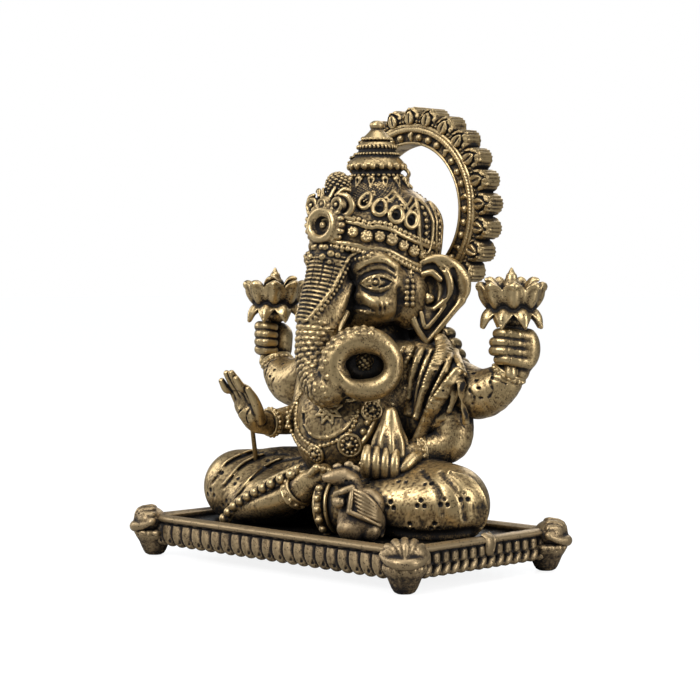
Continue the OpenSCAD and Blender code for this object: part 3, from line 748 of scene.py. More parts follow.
def coil_point(angle, reach=1.0, nearer=0.0):
    """A point on the trunk's loop, which stands upright and faces the front left."""
    a = math.radians(angle)
    x, y, z = facing(COIL_WIDE * reach * math.cos(a), nearer, COIL_TALL * reach * math.sin(a))
    return COIL + (x, y, z)


def trunk_front(p):
    """The way that the scales face on the hanging part of the trunk."""
    return np.array((-0.1, -1, -0.15)) if p[2] > 37.5 else np.array((-0.5, -0.7, -0.8))


def head_lumps(clay):
    clay.lump((0, 9.1, 60), (11.2, 11, 11), 1)
    for side in (1, -1):
        clay.lump((side * 4.6, 2, 60.5), (5.6, 5.2, 5.6), 2.5)
        clay.lump((side * 6.6, 3.2, 55), (5.6, 5.4, 5.6), 2.5)
        clay.lump((side * 7.4, 2.6, 50.6), (4.2, 4.6, 3.2), 1.6)
        clay.lump((side * 9.8, 8.2, 52.5), (3.4, 4.6, 6.5), 1.5)
    clay.lump((0, 2.5, 51), (6.5, 6.5, 6), 2)
    clay.lump((0, 6, 50), (8.5, 7, 5.5), 2)
    clay.tube([(0, y, z, r) for z, y, r in zip(ROOT_Z, ROOT_Y, ROOT_R)], 0.9)


def net_turn(z):
    """The net hangs a little to the right at its foot."""
    return 14 * smooth_step(-z, -56, -48)


def netting(x, y, z):
    """Raised rows of links over the trunk's front, arched, and split into columns near the top."""
    angle = np.degrees(np.arctan2(x, np.interp(z, ROOT_Z, ROOT_Y) - y)) + net_turn(z)
    edge = np.interp(z, NET_Z, NET_EDGE)
    inside = smooth_step(edge - np.abs(angle), 2, 6) * smooth_step(z, 47.6, 48.2) * smooth_step(-z, -61, -60)
    arch = 0.7 * np.cos(np.radians(np.minimum(np.abs(angle) * 1.6, 150)))
    row = np.abs(np.sin(math.pi * (z - arch) / 0.8)) ** 0.7
    column = smooth_step(np.abs((angle / 24 + 0.5) % 1 - 0.5) * 24, 0.4, 3)
    column = np.maximum(column, smooth_step(-z, -56, -53))
    return 0.42 * inside * (row * (0.35 + 0.65 * column) - 0.1)


def face_line(clay, side, route, radius, cut=True, k=0.4, lift=0.0, ends=0.3):
    """A groove or a ridge on one side of the face, thinner toward its ends."""
    out = unit((side * DIAGONAL, -DIAGONAL, 0))
    points = [clay.seen(a * side, h, 45.0 * side) + lift * out for a, h in smooth_path(route, 5)]
    n = len(points)
    widths = [radius * (ends + (1 - ends) * math.sin(math.pi * (i + 0.5) / n)) for i in range(n)]
    clay.tube([(*p, w) for p, w in zip(points, widths)], k, cut=cut)


def eye(clay, side):
    """A long eye with a creased upper lid, a ringed iris and a brow ridge."""
    turn = 45.0 * side
    out = unit((side * DIAGONAL, -DIAGONAL, 0))
    across = unit((side * DIAGONAL, DIAGONAL, 0))
    frame_axes = (across, out, np.array((0, 0, 1.0)))

    def line(route, radius, **options):
        face_line(clay, side, route, radius, ends=0.35, **options)

    line([(2.2, 58), (4.6, 59.5), (7.4, 59.7), (9.8, 58.6)], 1.0, cut=False, k=1.4, lift=-0.1)
    socket = clay.seen(5.9 * side, 55.4, turn)
    clay.lump(socket + 0.3 * out, (3.5, 1.05, 1.45), 0.7, cut=True, along=frame_axes)
    clay.lump(socket - 1.2 * out, (3.0, 1.35, 1.25), 0.1, along=frame_axes)
    pupil = clay.seen(5.9 * side, 55.4, turn)
    clay.ring(pupil - 0.05 * out, out, 0.95, 0.17, 0.06)
    clay.lump(pupil, 0.5, 0.05)
    line([(2.9, 55.1), (4.3, 56.1), (6, 56.6), (7.6, 56.5), (9.4, 55.6)], 0.4, cut=False, k=0.12, lift=0.2)
    line([(3.2, 55), (4.6, 54.3), (6.4, 54.05), (8, 54.4), (9.2, 55.4)], 0.32, cut=False, k=0.12, lift=0.15)
    line([(2.5, 55.7), (4.0, 56.9), (6.2, 57.5), (8.2, 57.3), (9.8, 56.3)], 0.3, k=0.3)
    line([(2.6, 57.3), (5, 58.7), (7.6, 58.8), (9.6, 57.6)], 0.22, k=0.4)
    line([(3.3, 54.2), (5, 53.3), (7, 53.1), (8.8, 54.2)], 0.26, k=0.3)


def cheek(clay, side):
    """The crease by the trunk, the puff under the eye and the drawn-up mouth line."""
    face_line(clay, side, [(0.9, 57.6), (1.4, 55), (1.6, 52.4), (1.4, 49.6), (0.4, 47.2)], 0.55, k=1.2)
    face_line(clay, side, [(2.2, 52.6), (3.6, 52.8), (5.6, 51.6), (7.8, 51.2)], 0.7, cut=False, k=1.5)
    face_line(clay, side, [(1.4, 51.2), (2.6, 50.6), (4, 50.5), (5.6, 49.8)], 0.42, k=0.35)
    face_line(clay, side, [(6.4, 51.4), (6.8, 50.4), (6.7, 49.4)], 0.16)
    face_line(clay, side, [(7.3, 51.6), (7.7, 50.6), (7.6, 49.6)], 0.14)
    face_line(clay, side, [(1.8, 50), (3.2, 49.8), (4.8, 49.2)], 0.3, cut=False, k=0.3)
    face_line(clay, side, [(10.6, 54), (10.9, 51.4), (10.2, 48.6)], 0.5, k=1.2)


def forehead_beads(clay):
    cluster = [(-4.3, 60.3, 0.72), (-3.7, 62.1, 0.72), (-2.7, 60.9, 0.78), (-1.4, 60.6, 0.62),
               (-2, 62.3, 0.45),
               (-0.6, 61.5, 0.5), (-1.9, 59.4, 0.5), (-1, 59.2, 0.45), (-5.6, 62.2, 0.7), (-3, 59.3, 0.5)]
    for side in (1, -1):
        for across, height, radius in cluster:
            p = clay.seen(across * side, height, 45.0 * side)
            clay.lump(p, radius, 0.08)
            clay.lump(p + np.array(facing(0, radius, 0)) * (side, 1, 1), radius * 0.3, 0.05, cut=True)


def net_edges(clay):
    """The strings of beads down both edges of the netting, meeting on the trunk."""
    for side in (1, -1):
        beads, band = [], []
        for z in np.arange(48, 61.2, 0.42):
            a = side * (float(np.interp(z, NET_Z, NET_EDGE)) + 3) - float(net_turn(z))
            across = float(np.interp(z, ROOT_Z, ROOT_Y)) * math.sin(math.radians(a))
            beads.append(clay.seen(across, z, a))
            inner = a - side * 12
            across = float(np.interp(z, ROOT_Z, ROOT_Y)) * math.sin(math.radians(inner))
            band.append((*clay.seen(across, z, inner), 0.4))
        clay.tube(band, 0.15)
        lengths = lengths_along(beads)
        for at in np.arange(0.2, lengths[-1], 0.98):
            clay.lump(point_along(at, lengths, beads), 0.5, 0.08)


def temple_strings(clay):
    """Two strings of beads in front of each ear, under a little star."""
    for side in (1, -1):
        for row in range(5):
            for x in (-0.55, 0.55):
                p = clay.seen((12.55 + x) * side, 55.6 - 1.12 * row, 45.0 * side)
                clay.lump(p, 0.6, 0.05)
        star = clay.seen(12.6 * side, 57.2, 45.0 * side)
        for a in range(0, 360, 60):
            x, z = math.cos(math.radians(a)), math.sin(math.radians(a))
            tip = star + np.array((0.7 * side * x, 0.7 * x, z)) * 0.9
            clay.tube([(*star, 0.38), (*tip, 0.16)], 0.08)


def trunk_route():
    down = [(0, -7.3, 47.6, 4.0), (0, -8.1, 43, 3.8), (0.7, -8.7, 39.5, 3.7), (2.2, -9.3, 36.9, 3.6),
            (4.4, -9.9, 35.1, 3.5), (6.6, -10.5, 35, 3.1), (8, -10.3, 35.4, 2.3)]
    rising = ((214, 2.5), (195, 2.5), (180, 2.45), (155, 2.45), (125, 2.55), (95, 2.6), (65, 2.4),
              (35, 2.05), (5, 1.85), (-25, 1.9), (-55, 2.1))
    curl = ((-85, 0.97, 0.5, 2.15), (-112, 0.95, 1.2, 1.8), (-136, 0.9, 1.9, 1.3), (-156, 0.86, 2.4, 0.8),
            (-172, 0.88, 2.7, 0.3))
    up = [(*coil_point(a, 1, 0.6), r) for a, r in rising] + [(*coil_point(a, f, n), r) for a, f, n, r in curl]
    return smooth_path(down, 4), smooth_path(up, 4)


def scale_rows(clay, route, across, first, last, outward):
    """Staggered pebble-like scales over the outer side of a curved limb."""
    lengths = lengths_along(route[:, :3])
    row = 0
    for at in np.arange(first, min(last, lengths[-1] - 0.3), 1.12):
        p, q = (point_along(t, lengths, route, 4) for t in (at, at + 0.3))
        along = unit(q[:3] - p[:3])
        out = outward(p[:3])
        out = unit(out - along * (out @ along))
        side = np.cross(along, out)
        for angle in across if row % 2 else np.array(across[:-1]) + (across[1] - across[0]) / 2:
            a = math.radians(angle)
            radial = spoke(out, side, a)
            around = np.cross(along, radial)
            clay.lump(p[:3] + (p[3] - 0.08) * radial, (0.6, 0.92 * p[3] / 3.8, 0.4), 0.1,
                      along=(along, around, radial))
        row += 1


def head_and_trunk():
    """Sculpted together, then parted across the trunk so that the surfaces meet."""
    clay = Clay((-13, -14, 30.6), (19, 21, 66), 0.17)
    head_lumps(clay)
    for side in (1, -1):
        cheek(clay, side)
        eye(clay, side)
    down, up = trunk_route()
    clay.tube(down, 0.3)
    flank = [(0.8, 4.7, 54.8, 1.2, 1), (-0.6, 5.9, 52.6, 1.7, 1.2), (-1.6, 6.7, 50.6, 2, 1.3),
             (-2.3, 7.1, 48.6, 2, 1.3), (-2.7, 7.3, 46.8, 1.6, 1.1)]
    for side in (1, -1):
        route = [(side * facing(s, q, z)[0], facing(s, q, z)[1], z, w, t) for s, q, z, w, t in flank]
        clay.limb(route, 4, 0.5, side=(side * 0.34, 0.94, 0))
    clay.emboss(netting, (-6, -12, 47), (6, 2, 62))
    net_edges(clay)
    forehead_beads(clay)
    temple_strings(clay)
    clay.tube(up, 0.3)
    scale_rows(clay, down, (-78, -50, -22, 6, 34, 60), 0.3, 17.5, trunk_front)
    scale_rows(clay, up, (-38, -2, 34), 0.2, 13, lambda p: p - COIL + np.array(facing(0, 1.2, 0)))
    for i in range(7):
        a = 170 - 13 * i
        clay.tube([(*coil_point(a, 0.93, 2.2), 0.2), (*coil_point(a - 5, 0.8, 2.6), 0.12)], 0.12, cut=True)
    for a in range(-150, -40, 24):
        clay.tube([(*coil_point(a, 0.5, 1.9), 0.06), (*coil_point(a + 8, 0.6, 2.6), 0.1)], 0.2, cut=True)

    def trunk_part(x, y, z):
        p = (x - COIL[0], y - COIL[1], z - COIL[2])
        flat = (p[0] - p[1]) * DIAGONAL
        rho = np.sqrt(((p[0] + p[1]) * DIAGONAL) ** 2 + p[2] ** 2)
        return np.minimum(z - SEAM_Z, np.sqrt((rho - 5.4) ** 2 + flat**2) - 3.3)

    whole = clay.field.copy()
    clay.keep(lambda x, y, z: -trunk_part(x, y, z))
    cast(clay, "head", "body_brass", sharp=65)
    clay.field = whole
    clay.keep(trunk_part)
    cast(clay, "trunk", "body_brass", sharp=65)


def laddu():
    """A sweet ball in crumbs, inside the trunk's loop and a little clear of it, with a dark disc of painted
    shade behind it.
    """
    clay = Clay((5, -10.5, 34), (16, 2, 45.5), 0.12)
    centre = COIL + facing(0.2, -1.7, 0.6)
    clay.lump(centre, 1.5, 0.2)
    for i in range(46):
        z = 1 - 2 * (i + 0.5) / 46
        a = SPIRAL_TURN * i
        r = math.sqrt(1 - z * z)
        crumb = (1.5 + 0.12 * math.sin(5.3 * i)) * np.array((r * math.cos(a), r * math.sin(a), z))
        clay.lump(centre + crumb, 0.34 + 0.08 * math.sin(7.1 * i), 0.05)
    cast(clay, "laddu", "dark_brass")
    # A flat dark disc at the back of the trunk's loop: painted shade in the loop's hollow.
    shadow_disc = Clay((2, -9, 33), (17, 4, 46), 0.25)
    out, side = unit(facing(0, 1, 0)), unit(facing(1, 0, 0))
    shadow_disc.lump(COIL + facing(0, -2.6, 0), (4.7, 0.8, 4), 0.2, along=(side, out, (0, 0, 1)))
    show(shadow_disc.mesh("laddu_shadow_disc", detail=0.1), "floor_brass", "laddu")


def tusk():
    clay = Clay((3, -9, 44.6), (9.6, -1.5, 50.6), 0.12)
    route = [(4.1, -3.7, 49.4, 0.7), (4.5, -5, 48, 0.6), (5, -6.2, 46.8, 0.45), (5.4, -6.9, 46, 0.2)]
    clay.limb(route, 4, 0.2)
    cast(clay, "tusk", "bright_brass")


def ear_clay():
    """The left ear, which lies almost square to the front left."""
    clay = Clay((7, 2, 41.8), (21.4, 20, 62), 0.15)

    def on(points):
        return [(*facing(a, n, h), *rest) for a, n, h, *rest in points]

    out = unit(facing(0.15, 1, 0))
    side = unit(facing(1, -0.15, 0))
    for a, n, h, wide, tall in ((17.6, 1.4, 55.6, 4.2, 4.6), (20.4, 0.7, 53.8, 3.6, 4.6),
                                (17.2, 1.6, 50, 3.4, 4), (15.8, 2.6, 46.6, 1.9, 2.9)):
        clay.lump(facing(a, n, h), (wide, 1.1, tall), 0.8, along=(side, out, (0, 0, 1)))
    top = [(14.4, 1.6, 58.4, 0.7, 0.9), (15.6, 2.2, 59.5, 0.8, 0.9), (18.6, 2.4, 60, 1.2, 0.9),
           (21.2, 2.1, 58.6, 1.6, 1.1),
           (22.9, 1.6, 56.2, 1.7, 1.0), (23.4, 1.2, 53.6, 1.3, 0.8), (22.4, 1.2, 51.2, 0.9, 0.7)]
    clay.limb(on(top), 5, 0.4, side=side)
    outer = [(23, 1.2, 51.8, 0.8), (21, 1.8, 49.4, 0.65), (18.4, 2.8, 46.3, 0.65), (16.1, 3.8, 43.7, 0.5)]
    clay.limb(on(outer), 5, 0.25)
    inner = [(12.9, 3, 49.6, 0.8), (13.7, 3.4, 47.4, 0.75), (14.8, 3.8, 45.3, 0.65), (16, 4, 43.6, 0.5)]
    clay.limb(on(inner), 5, 0.25)
    clay.limb(on([(14.9, 3.5, 49.4, 0.45), (15.7, 3.9, 46.6, 0.5), (17.4, 3.4, 48, 0.4),
                  (19.6, 2.6, 50.8, 0.3)]), 5, 0.2)
    fold = [(18.2, 2.6, 59.4, 0.7), (20, 2.8, 57, 0.8), (20.6, 2.8, 54.4, 0.75), (19.6, 2.8, 52, 0.6),
            (17.6, 2.6, 50.2, 0.5)]
    clay.limb(on(fold), 5, 0.5)
    clay.limb(on([(21.2, 3, 57.8, 0.4), (22, 2.8, 55, 0.5), (21.6, 2.8, 52.4, 0.3)]), 5, 0.5, cut=True)
    clay.lump(facing(16.6, 2.9, 53.6), (1.9, 2.1, 3), 0.4, cut=True, along=(side, out, (0, 0, 1)))
    clay.limb(on([(15.2, 2.5, 57, 0.6), (17, 2.9, 57.3, 0.7), (18.6, 2.9, 56, 0.6)]), 5, 0.3)
    clay.limb(on([(14.6, 3, 58.2, 0.25), (17, 3.6, 58.4, 0.35), (19.4, 3.4, 58, 0.25)]), 5, 0.4, cut=True)
    clay.lump(facing(19.5, 3, 53.4), (0.6, 0.6, 1.3), 0.3, cut=True, along=(side, out, (0, 0, 1)))
    return clay


def ears():
    clay = ear_clay()
    cast(clay, "left_ear", "body_brass")
    cast(clay, "right_ear", "body_brass", flip=True)
    clay = Clay((-17, 3, 49), (17, 12, 56), 0.2)
    for side in (1, -1):
        x, y, z = facing(16.5, 2.3, 52.2)
        centre = np.array((side * x, y, z))
        clay.lump(centre, 1.0, 0.1)
        for i in range(8):
            a = i * math.pi / 4
            clay.lump(centre + (side * 0.62 * math.cos(a), -0.5 + 0.6 * abs(math.cos(a)) * 0.5,
                                0.85 * math.sin(a)), 0.3, 0.1)
    cast(clay, "earrings", "bright_brass")


# ---------- crown ----------

CROWN_Y = 9
DOME = [(57, 11.5), (60, 12), (63.4, 12.4), (67.1, 12.6), (68.9, 12.1), (70.4, 11.2), (71.8, 9.8),
        (73.9, 6.9), (75, 5.9), (76, 5.2)]
HEM_ANGLE = [0, 8, 20, 30, 38, 44, 55, 69, 79, 95, 120, 180]
HEM_Z = [63.2, 63, 62.6, 62.1, 61.3, 61.6, 61.2, 59.7, 58.8, 57.8, 57.4, 57.2]


def hem_z(angle):
    return np.interp(np.abs((angle + 180) % 360 - 180), HEM_ANGLE, HEM_Z)


def front_bulge(angle, height):
    """How far the crown swells out over the root of the trunk."""
    return 2.4 * np.exp(-((angle / 33) ** 2)) * smooth_step(-height, -71, -65)


def on_crown(angle, height, out=0.0):
    """(point, outward direction) on the dome, at an angle from the front toward +X."""
    radius = np.interp(height, *np.array(DOME).T) + front_bulge(angle, height) + out
    a = math.radians(angle)
    point = np.array((radius * math.sin(a), CROWN_Y - radius * math.cos(a), height))
    return point, np.array((math.sin(a), -math.cos(a), 0.25))


def rosette(clay, place, out, radius, petals=7):
    """A round boss with a ring of seeds on it."""
    out = unit(out)
    side, up = face_axes(out)
    clay.lump(place, (radius, radius, radius * 0.5), 0.08, along=(side, up, out))
    for a in turns(petals):
        clay.lump(place + radius * (0.66 * spoke(side, up, a) + 0.3 * out), radius * 0.27, 0.04)
    clay.lump(place + 0.45 * radius * out, radius * 0.28, 0.04)


def teardrop(clay, angle, height, side):
    """A drop-shaped ring with its point curled over, on the dome."""
    loop = []
    for i in range(25):
        t = 2 * math.pi * i / 24
        r = 1.3 + 0.5 * max(0, math.cos(t)) ** 3
        across, up = r * math.sin(t + side * 0.5), r * math.cos(t + side * 0.5)
        loop.append((*on_crown(angle + 4.6 * across, height + up, 0.3)[0], 0.47))
    clay.tube(loop, 0.1)
    hook = [(0.9, 1.6), (1.5, 2.1), (2.1, 1.9), (2.1, 1.3), (1.7, 1.2)]
    clay.tube([(*on_crown(angle + 4.6 * x * side, height + z, 0.3)[0], 0.3) for x, z in hook], 0.08)
    clay.lump(on_crown(angle, height - 0.1, 0)[0], 0.75, 0.2, cut=True)


def stipple(clay, count, low, high, start, end, size, seed):
    """Small raised grains scattered evenly over a stretch of the dome."""
    for i in range(count):
        f = (i + 0.5) / count
        height = low + (high - low) * f
        angle = start + (end - start) * ((i * 0.618034 + seed) % 1)
        clay.lump(on_crown(angle, height, 0.08)[0], size * (0.8 + 0.4 * ((i * 0.377) % 1)), 0.06)


def crown_dome():
    clay = Clay((-14, -7.4, 56), (14, 23.4, 76.6), 0.17)

    def shape(x, y, z):
        py = y - CROWN_Y
        rho = np.sqrt(x * x + py * py)
        angle = np.degrees(np.arctan2(x, -py))
        side = (rho - np.interp(z, *np.array(DOME).T) - front_bulge(angle, z)) * 0.8
        return np.maximum(np.maximum(side, (hem_z(angle) - z) * 0.9), z - 76)

    clay.put(shape, (-13.4, -6.8, 56.4), (13.4, 22.8, 76), 0.2)
    for side in (1, -1):
        for i, angle in enumerate((31.7, 46.5, 61.4, 75.5)):
            teardrop(clay, side * angle, (71.0, 69.7, 68.3, 67.3)[i], side)
        for out in (0, 1):
            zig = [(52 + out * 2, 71.5 - out * 0.8), (68, 73.4 - out), (75, 70.3 - out), (88, 72 - out)]
            line = []
            for (a0, h0), (a1, h1) in zip(zig, zig[1:]):
                for t in range(5):
                    a, h = side * (a0 + (a1 - a0) * t / 4), h0 + (h1 - h0) * t / 4
                    line.append((*on_crown(a, h, 0.3)[0], 0.33))
            clay.tube(line, 0.06)
        stipple(clay, 170, 70.8, 75, side * 12, side * 78, 0.26, 0.1)
        stipple(clay, 140, 59.4, 71, side * 104, side * 128, 0.22, 0.4)
        stipple(clay, 160, 58.4, 73.5, side * 132, side * 179, 0.24, 0.7)
        for start, end in ((82, 104), (107, 129), (132, 154), (157, 179)):
            frame_ring = []
            for i in range(29):
                t = 2 * math.pi * i / 28
                a = (start + end) / 2 + 0.43 * (end - start) * math.sin(t)
                h = 66.2 - 0.02 * (a - 92) + 5.4 * math.cos(t)
                frame_ring.append((*on_crown(side * a, h, 0.3)[0], 0.5))
            clay.tube(frame_ring, 0.1)
            for j in range(7):
                p, out = on_crown(side * (start + end) / 2, 62.4 + 1.25 * j, 0.25)
                clay.lump(p, 0.5, 0.06)
            for j in range(9):
                a = side * ((start + end) / 2 + 4.2)
                clay.tube([(*on_crown(a, 62 + j, 0.05)[0], 0.16),
                           (*on_crown(a + side * 2, 62.5 + j, 0.1)[0], 0.16)], 0.05)
    for i in range(14):
        a = 360 * i / 14 + 8
        tip, root = on_crown(a, 73.9, 0.15)[0], on_crown(a, 75.6, 0.4)[0]
        clay.tube([(*root, 0.8), (*tip, 0.12)], 0.1)
        clay.tube([(*on_crown(a, 75.4, 0.9)[0], 0.35), (*on_crown(a, 74.2, 0.8)[0], 0.2)], 0.1, cut=True)
    cast(clay, "crown_dome", "body_brass")


def crown_band():
    clay = Clay((-14.4, -8, 55.6), (14.4, 23.8, 70), 0.17)

    def ridge(lift, out, wide, thick, k=0.1):
        route = [on_crown(a, hem_z(a) + lift, out)[0] for a in range(-180, 181, 4)]
        for p, q in zip(route, route[1:]):
            clay.tube([(*p, wide, thick), (*q, wide, thick)], k, side=(0, 0, 1))

    ridge(0.3, 0.35, 0.5, 0.42)
    ridge(4.55, 0.35, 0.42, 0.4)
    for i in range(86):
        a = 360 * i / 86
        clay.lump(on_crown(a, hem_z(a) - 0.65, 0.45)[0], 0.56, 0.05)
    for i in range(80):
        a = 360 * i / 80 + 2
        clay.lump(on_crown(a, hem_z(a) + 5.4, 0.25)[0], 0.53, 0.05)
    for i in range(33):
        a = 360 * i / 33 + 3
        if a < 20 or a > 340:
            continue
        place, out = on_crown(a, hem_z(a) + 2.8, 0.2)
        rosette(clay, place, out, 1.3 if i % 2 else 1.15)
    cast(clay, "crown_band", "bright_brass")


def crown_jewel():
    """The frontlet: a scalloped disc with a hollow centre, curls, and a crest above."""
    clay = Clay((-6.8, -9.4, 61.6), (6.8, 1.6, 77.8), 0.13)
    out = np.array((0, -1.0, 0.06))
    middle = 66.5
    clay.lump((0, -4.6, 66.7), (4.7, 2, 4.0), 0.3)
    for a in turns(20):
        clay.lump((4.6 * math.cos(a), -5.6, middle + 3.9 * math.sin(a)), (0.75, 0.8, 0.64), 0.12)
    ring = [(3.2 * math.cos(t), -6.2 + 0.3 * math.sin(t), middle + 2.8 * math.sin(t), 0.95)
            for t in np.linspace(0, 2 * math.pi, 33)]
    clay.tube(ring, 0.3)
    clay.tube([(x * 1.27, y + 0.35, middle + (z - middle) * 1.27, 0.6) for x, y, z, _ in ring], 0.2)
    clay.lump((0, -7.7, middle), (2.3, 2.9, 1.95), 0.12, cut=True)
    clay.lump((-0.2, -5.6, middle), 0.85, 0.08)
    for a in turns(10):
        clay.lump((1.6 * math.cos(a), -5.1, middle + 1.3 * math.sin(a)), 0.36, 0.06)
    clay.lump((0, -5.2, 70.5), (1.85, 1.3, 1.7), 0.2)
    clay.ring((0, -6.4, 70.5), out, 1.0, 0.22, 0.1)
    clay.lump((0, -6.35, 70.5), 0.42, 0.08)
    for side in (1, -1):
        c = np.array((side * 3.5, -4.7, 70.4))
        clay.lump(c, (1.8, 1.3, 1.6), 0.3)
        clay.ring(c + (0, -1.0, 0), out, 1.25, 0.34, 0.15)
        clay.lump(c + (0, -1.6, 0), (0.85, 0.9, 0.85), 0.1, cut=True)
        clay.lump(c + (0, -1.1, 0), 0.52, 0.06)
        curl = [(3.6, -5, 72.4, 0.4), (5.2, -4.4, 71.9, 0.6), (6.0, -4.0, 70.2, 0.65),
                (5.3, -4.4, 68.7, 0.55), (3.9, -5.2, 68.3, 0.4)]
        clay.limb([(side * x, y, z, r) for x, y, z, r in curl], 4, 0.12)
        clay.tube([(side * 1.1, -4.9, 71.9, 0.6), (side * 1.6, -4.4, 73.6, 0.3)], 0.1)
        clay.limb([(side * 2.4, -4.6, 72.2, 0.5), (side * 3.4, -3.8, 73.4, 0.45),
                   (side * 4.5, -3.2, 73.2, 0.35)], 3, 0.1)
        tail = [(3.6, -5.4, 67.6, 0.5), (5, -4.6, 67.9, 0.45), (6.2, -3.8, 67.4, 0.35)]
        clay.limb([(side * x, y, z, r) for x, y, z, r in tail], 3, 0.15)
    bun = np.array((0.3, -2.2, 74.1))
    clay.lump(bun, (2.4, 2.2, 2.7), 0.5)
    clay.lump((0, -2, 71.6), (2.6, 2.6, 2.4), 0.5)
    for i in range(120):
        z = 1 - 2 * (i + 0.5) / 120
        r = math.sqrt(1 - z * z)
        a = SPIRAL_TURN * i
        radial = np.array((r * math.cos(a), r * math.sin(a), z))
        clay.lump(bun + radial * (2.4, 2.2, 2.7), (0.42, 0.42, 0.3), 0.06)
    cast(clay, "crown_jewel", "bright_brass")


def around_crown(clay, count, radius, height, size, k=0.06, offset=0.0, cut=False):
    """A ring of beads, or of hollows, round the crown."""
    for a in turns(count, offset):
        clay.lump((radius * math.sin(a), CROWN_Y - radius * math.cos(a), height), size, k, cut)


def crown_tiers():
    clay = Clay((-6.8, 2.2, 75), (6.8, 15.8, 83.8), 0.13)
    profile = [(75.4, 5.2), (76, 4.9), (77.2, 4.8), (77.7, 5.2), (78.1, 5.6), (78.7, 5.75), (79.3, 5.4),
               (80, 4.7), (80.4, 4.3),
               (81, 4.2), (81.4, 3.7), (82, 3.7), (82.7, 3.75), (83.1, 3.4), (83.4, 2.6)]
    clay.put(turned(profile, (0, CROWN_Y)), (-6, 3, 75.4), (6, 15, 83.4), 0.2)
    around_crown(clay, 30, 5.0, 76.5, 0.4)
    around_crown(clay, 20, 5.5, 78.3, (0.62, 0.62, 0.75), 0.1)
    around_crown(clay, 40, 4.4, 80.8, 0.3)
    around_crown(clay, 30, 3.85, 82.2, (0.3, 0.3, 0.45), 0.05)
    around_crown(clay, 30, 3.95, 81.5, 0.14, 0.05, 0.5, cut=True)
    around_crown(clay, 16, 5.3, 77.4, 0.4, 0.2, 0.5, cut=True)
    cast(clay, "crown_tiers", "body_brass")


def crown_finial():
    clay = Clay((-3.8, 5.2, 82.4), (3.8, 12.8, 88), 0.11)
    profile = [(82.8, 2.7), (83.3, 2.6), (83.7, 3.0), (84.1, 2.9), (84.7, 2.2), (85.3, 1.6), (85.8, 1.2),
               (86.1, 1.35), (86.6, 1.5),
               (87.1, 1.3), (87.5, 0.7)]
    clay.put(turned(profile, (0, CROWN_Y)), (-3.2, 5.8, 82.8), (3.2, 12.2, 87.5), 0.2)
    around_crown(clay, 24, 2.95, 83.8, 0.3)
    cast(clay, "crown_finial", "bright_brass")


def crown_scroll():
    """Leaf scrolls that fall from the canopy to the shoulder of the crown."""
    clay = Clay((-8, 8, 72.6), (8, 16.6, 79.4), 0.13)
    for side in (1, -1):
        route = [(3.6, 0.2, 78.2, 0.5, 0.35), (5.3, 0.4, 78.0, 0.9, 0.4), (6.1, 0.6, 76.9, 0.9, 0.35),
                 (5.5, 0.6, 75.6, 0.8, 0.35), (6.6, 0.6, 74.2, 0.4, 0.3)]
        points = [(side * x * 0.82, CROWN_Y + 0.57 * x + y, z, w, t) for x, y, z, w, t in route]
        clay.limb(points, 4, 0.2, side=(-0.57 * side, 0.82, 0))
    cast(clay, "crown_scroll", "body_brass")


# ---------- halo ----------

HALO_Y, HALO_Z, HALO_T = 18.4, 69.8, 4.9
HALO_STEP, HALO_HALF = 14.5, 137.75


def halo_polar(x, y, z):
    """Radius and angle in degrees about the halo's middle, 0 at the top."""
    dz = z - HALO_Z
    return np.sqrt(x * x + dz * dz) + 0 * y, np.degrees(np.arctan2(x, dz)) + 0 * y


def ring_slab(inner, outer, front=HALO_Y, back=HALO_Y + HALO_T):
    """A broken ring between two radii, which may vary with the angle."""

    def shape(x, y, z):
        rho, angle = halo_polar(x, y, z)
        limit = (np.abs(angle) - HALO_HALF) * rho * DEGREE
        side = np.maximum(inner - rho, rho - (outer(angle) if callable(outer) else outer))
        return np.maximum(np.maximum(side, limit), np.maximum(front - y, y - back))

    return shape


HALO_LOW, HALO_HIGH = (-21.8, 17.6, 50.4), (21.8, 23.9, 91.4)


def halo_band():
    clay = Clay(HALO_LOW, HALO_HIGH, 0.2)
    clay.put(ring_slab(13.4, 17.6), HALO_LOW, HALO_HIGH, 0.3)

    def channel(x, y, z):
        rho, angle = halo_polar(x, y, z)
        front = smooth_step(-y, -19.6, -19.2)
        groove = smooth_step(rho, 13.8, 14.1) * smooth_step(-rho, -15.9, -15.6)
        dots = np.maximum(0, np.cos(np.radians(angle * 36))) ** 8 * smooth_step(np.abs(rho - 14.9), 0.7, 0.5)
        return -front * (0.5 * groove + 0.25 * dots)

    clay.emboss(channel)
    cast(clay, "halo_band", "body_brass", detail=0.01)


def petal_rim(angle):
    f = (angle / HALO_STEP + 0.5) % 1 - 0.5
    lobe = 18.5 + 2.55 * np.clip(1 - (np.abs(f) / 0.5) ** 2.2, 0, 1) ** 0.75
    return lobe + 0.13 * np.cos(2 * math.pi * f * 7)


def petal_relief(x, y, z):
    """A leaf inside a beaded, heart-shaped outline on the front of each petal."""
    rho, angle = halo_polar(x, y, z)
    f = (angle / HALO_STEP + 0.5) % 1 - 0.5
    u = f * HALO_STEP * DEGREE * rho
    v = rho - 18.9
    front = smooth_step(-y, -19.8, -19.3)
    half = 1.12 * np.sqrt(np.clip(1 - ((v + 0.1) / 1.5) ** 2, 0, 1)) * np.clip(1.15 - 0.25 * v, 0.4, 1.3)
    gap = np.abs(u) - half
    leaf = smooth_step(-gap, 0, 0.35) * (0.5 + 0.25 * smooth_step(np.abs(u), 0.1, 0.3))
    outline = np.exp(-(((gap - 0.55) / 0.26) ** 2)) * (0.35 + 0.3 * np.cos(2.2 * v * math.pi + 3 * np.abs(u)))
    valley = -0.25 * smooth_step(-np.abs(gap - 0.14), -0.2, -0.02)
    return front * (leaf + outline + valley - 0.15)


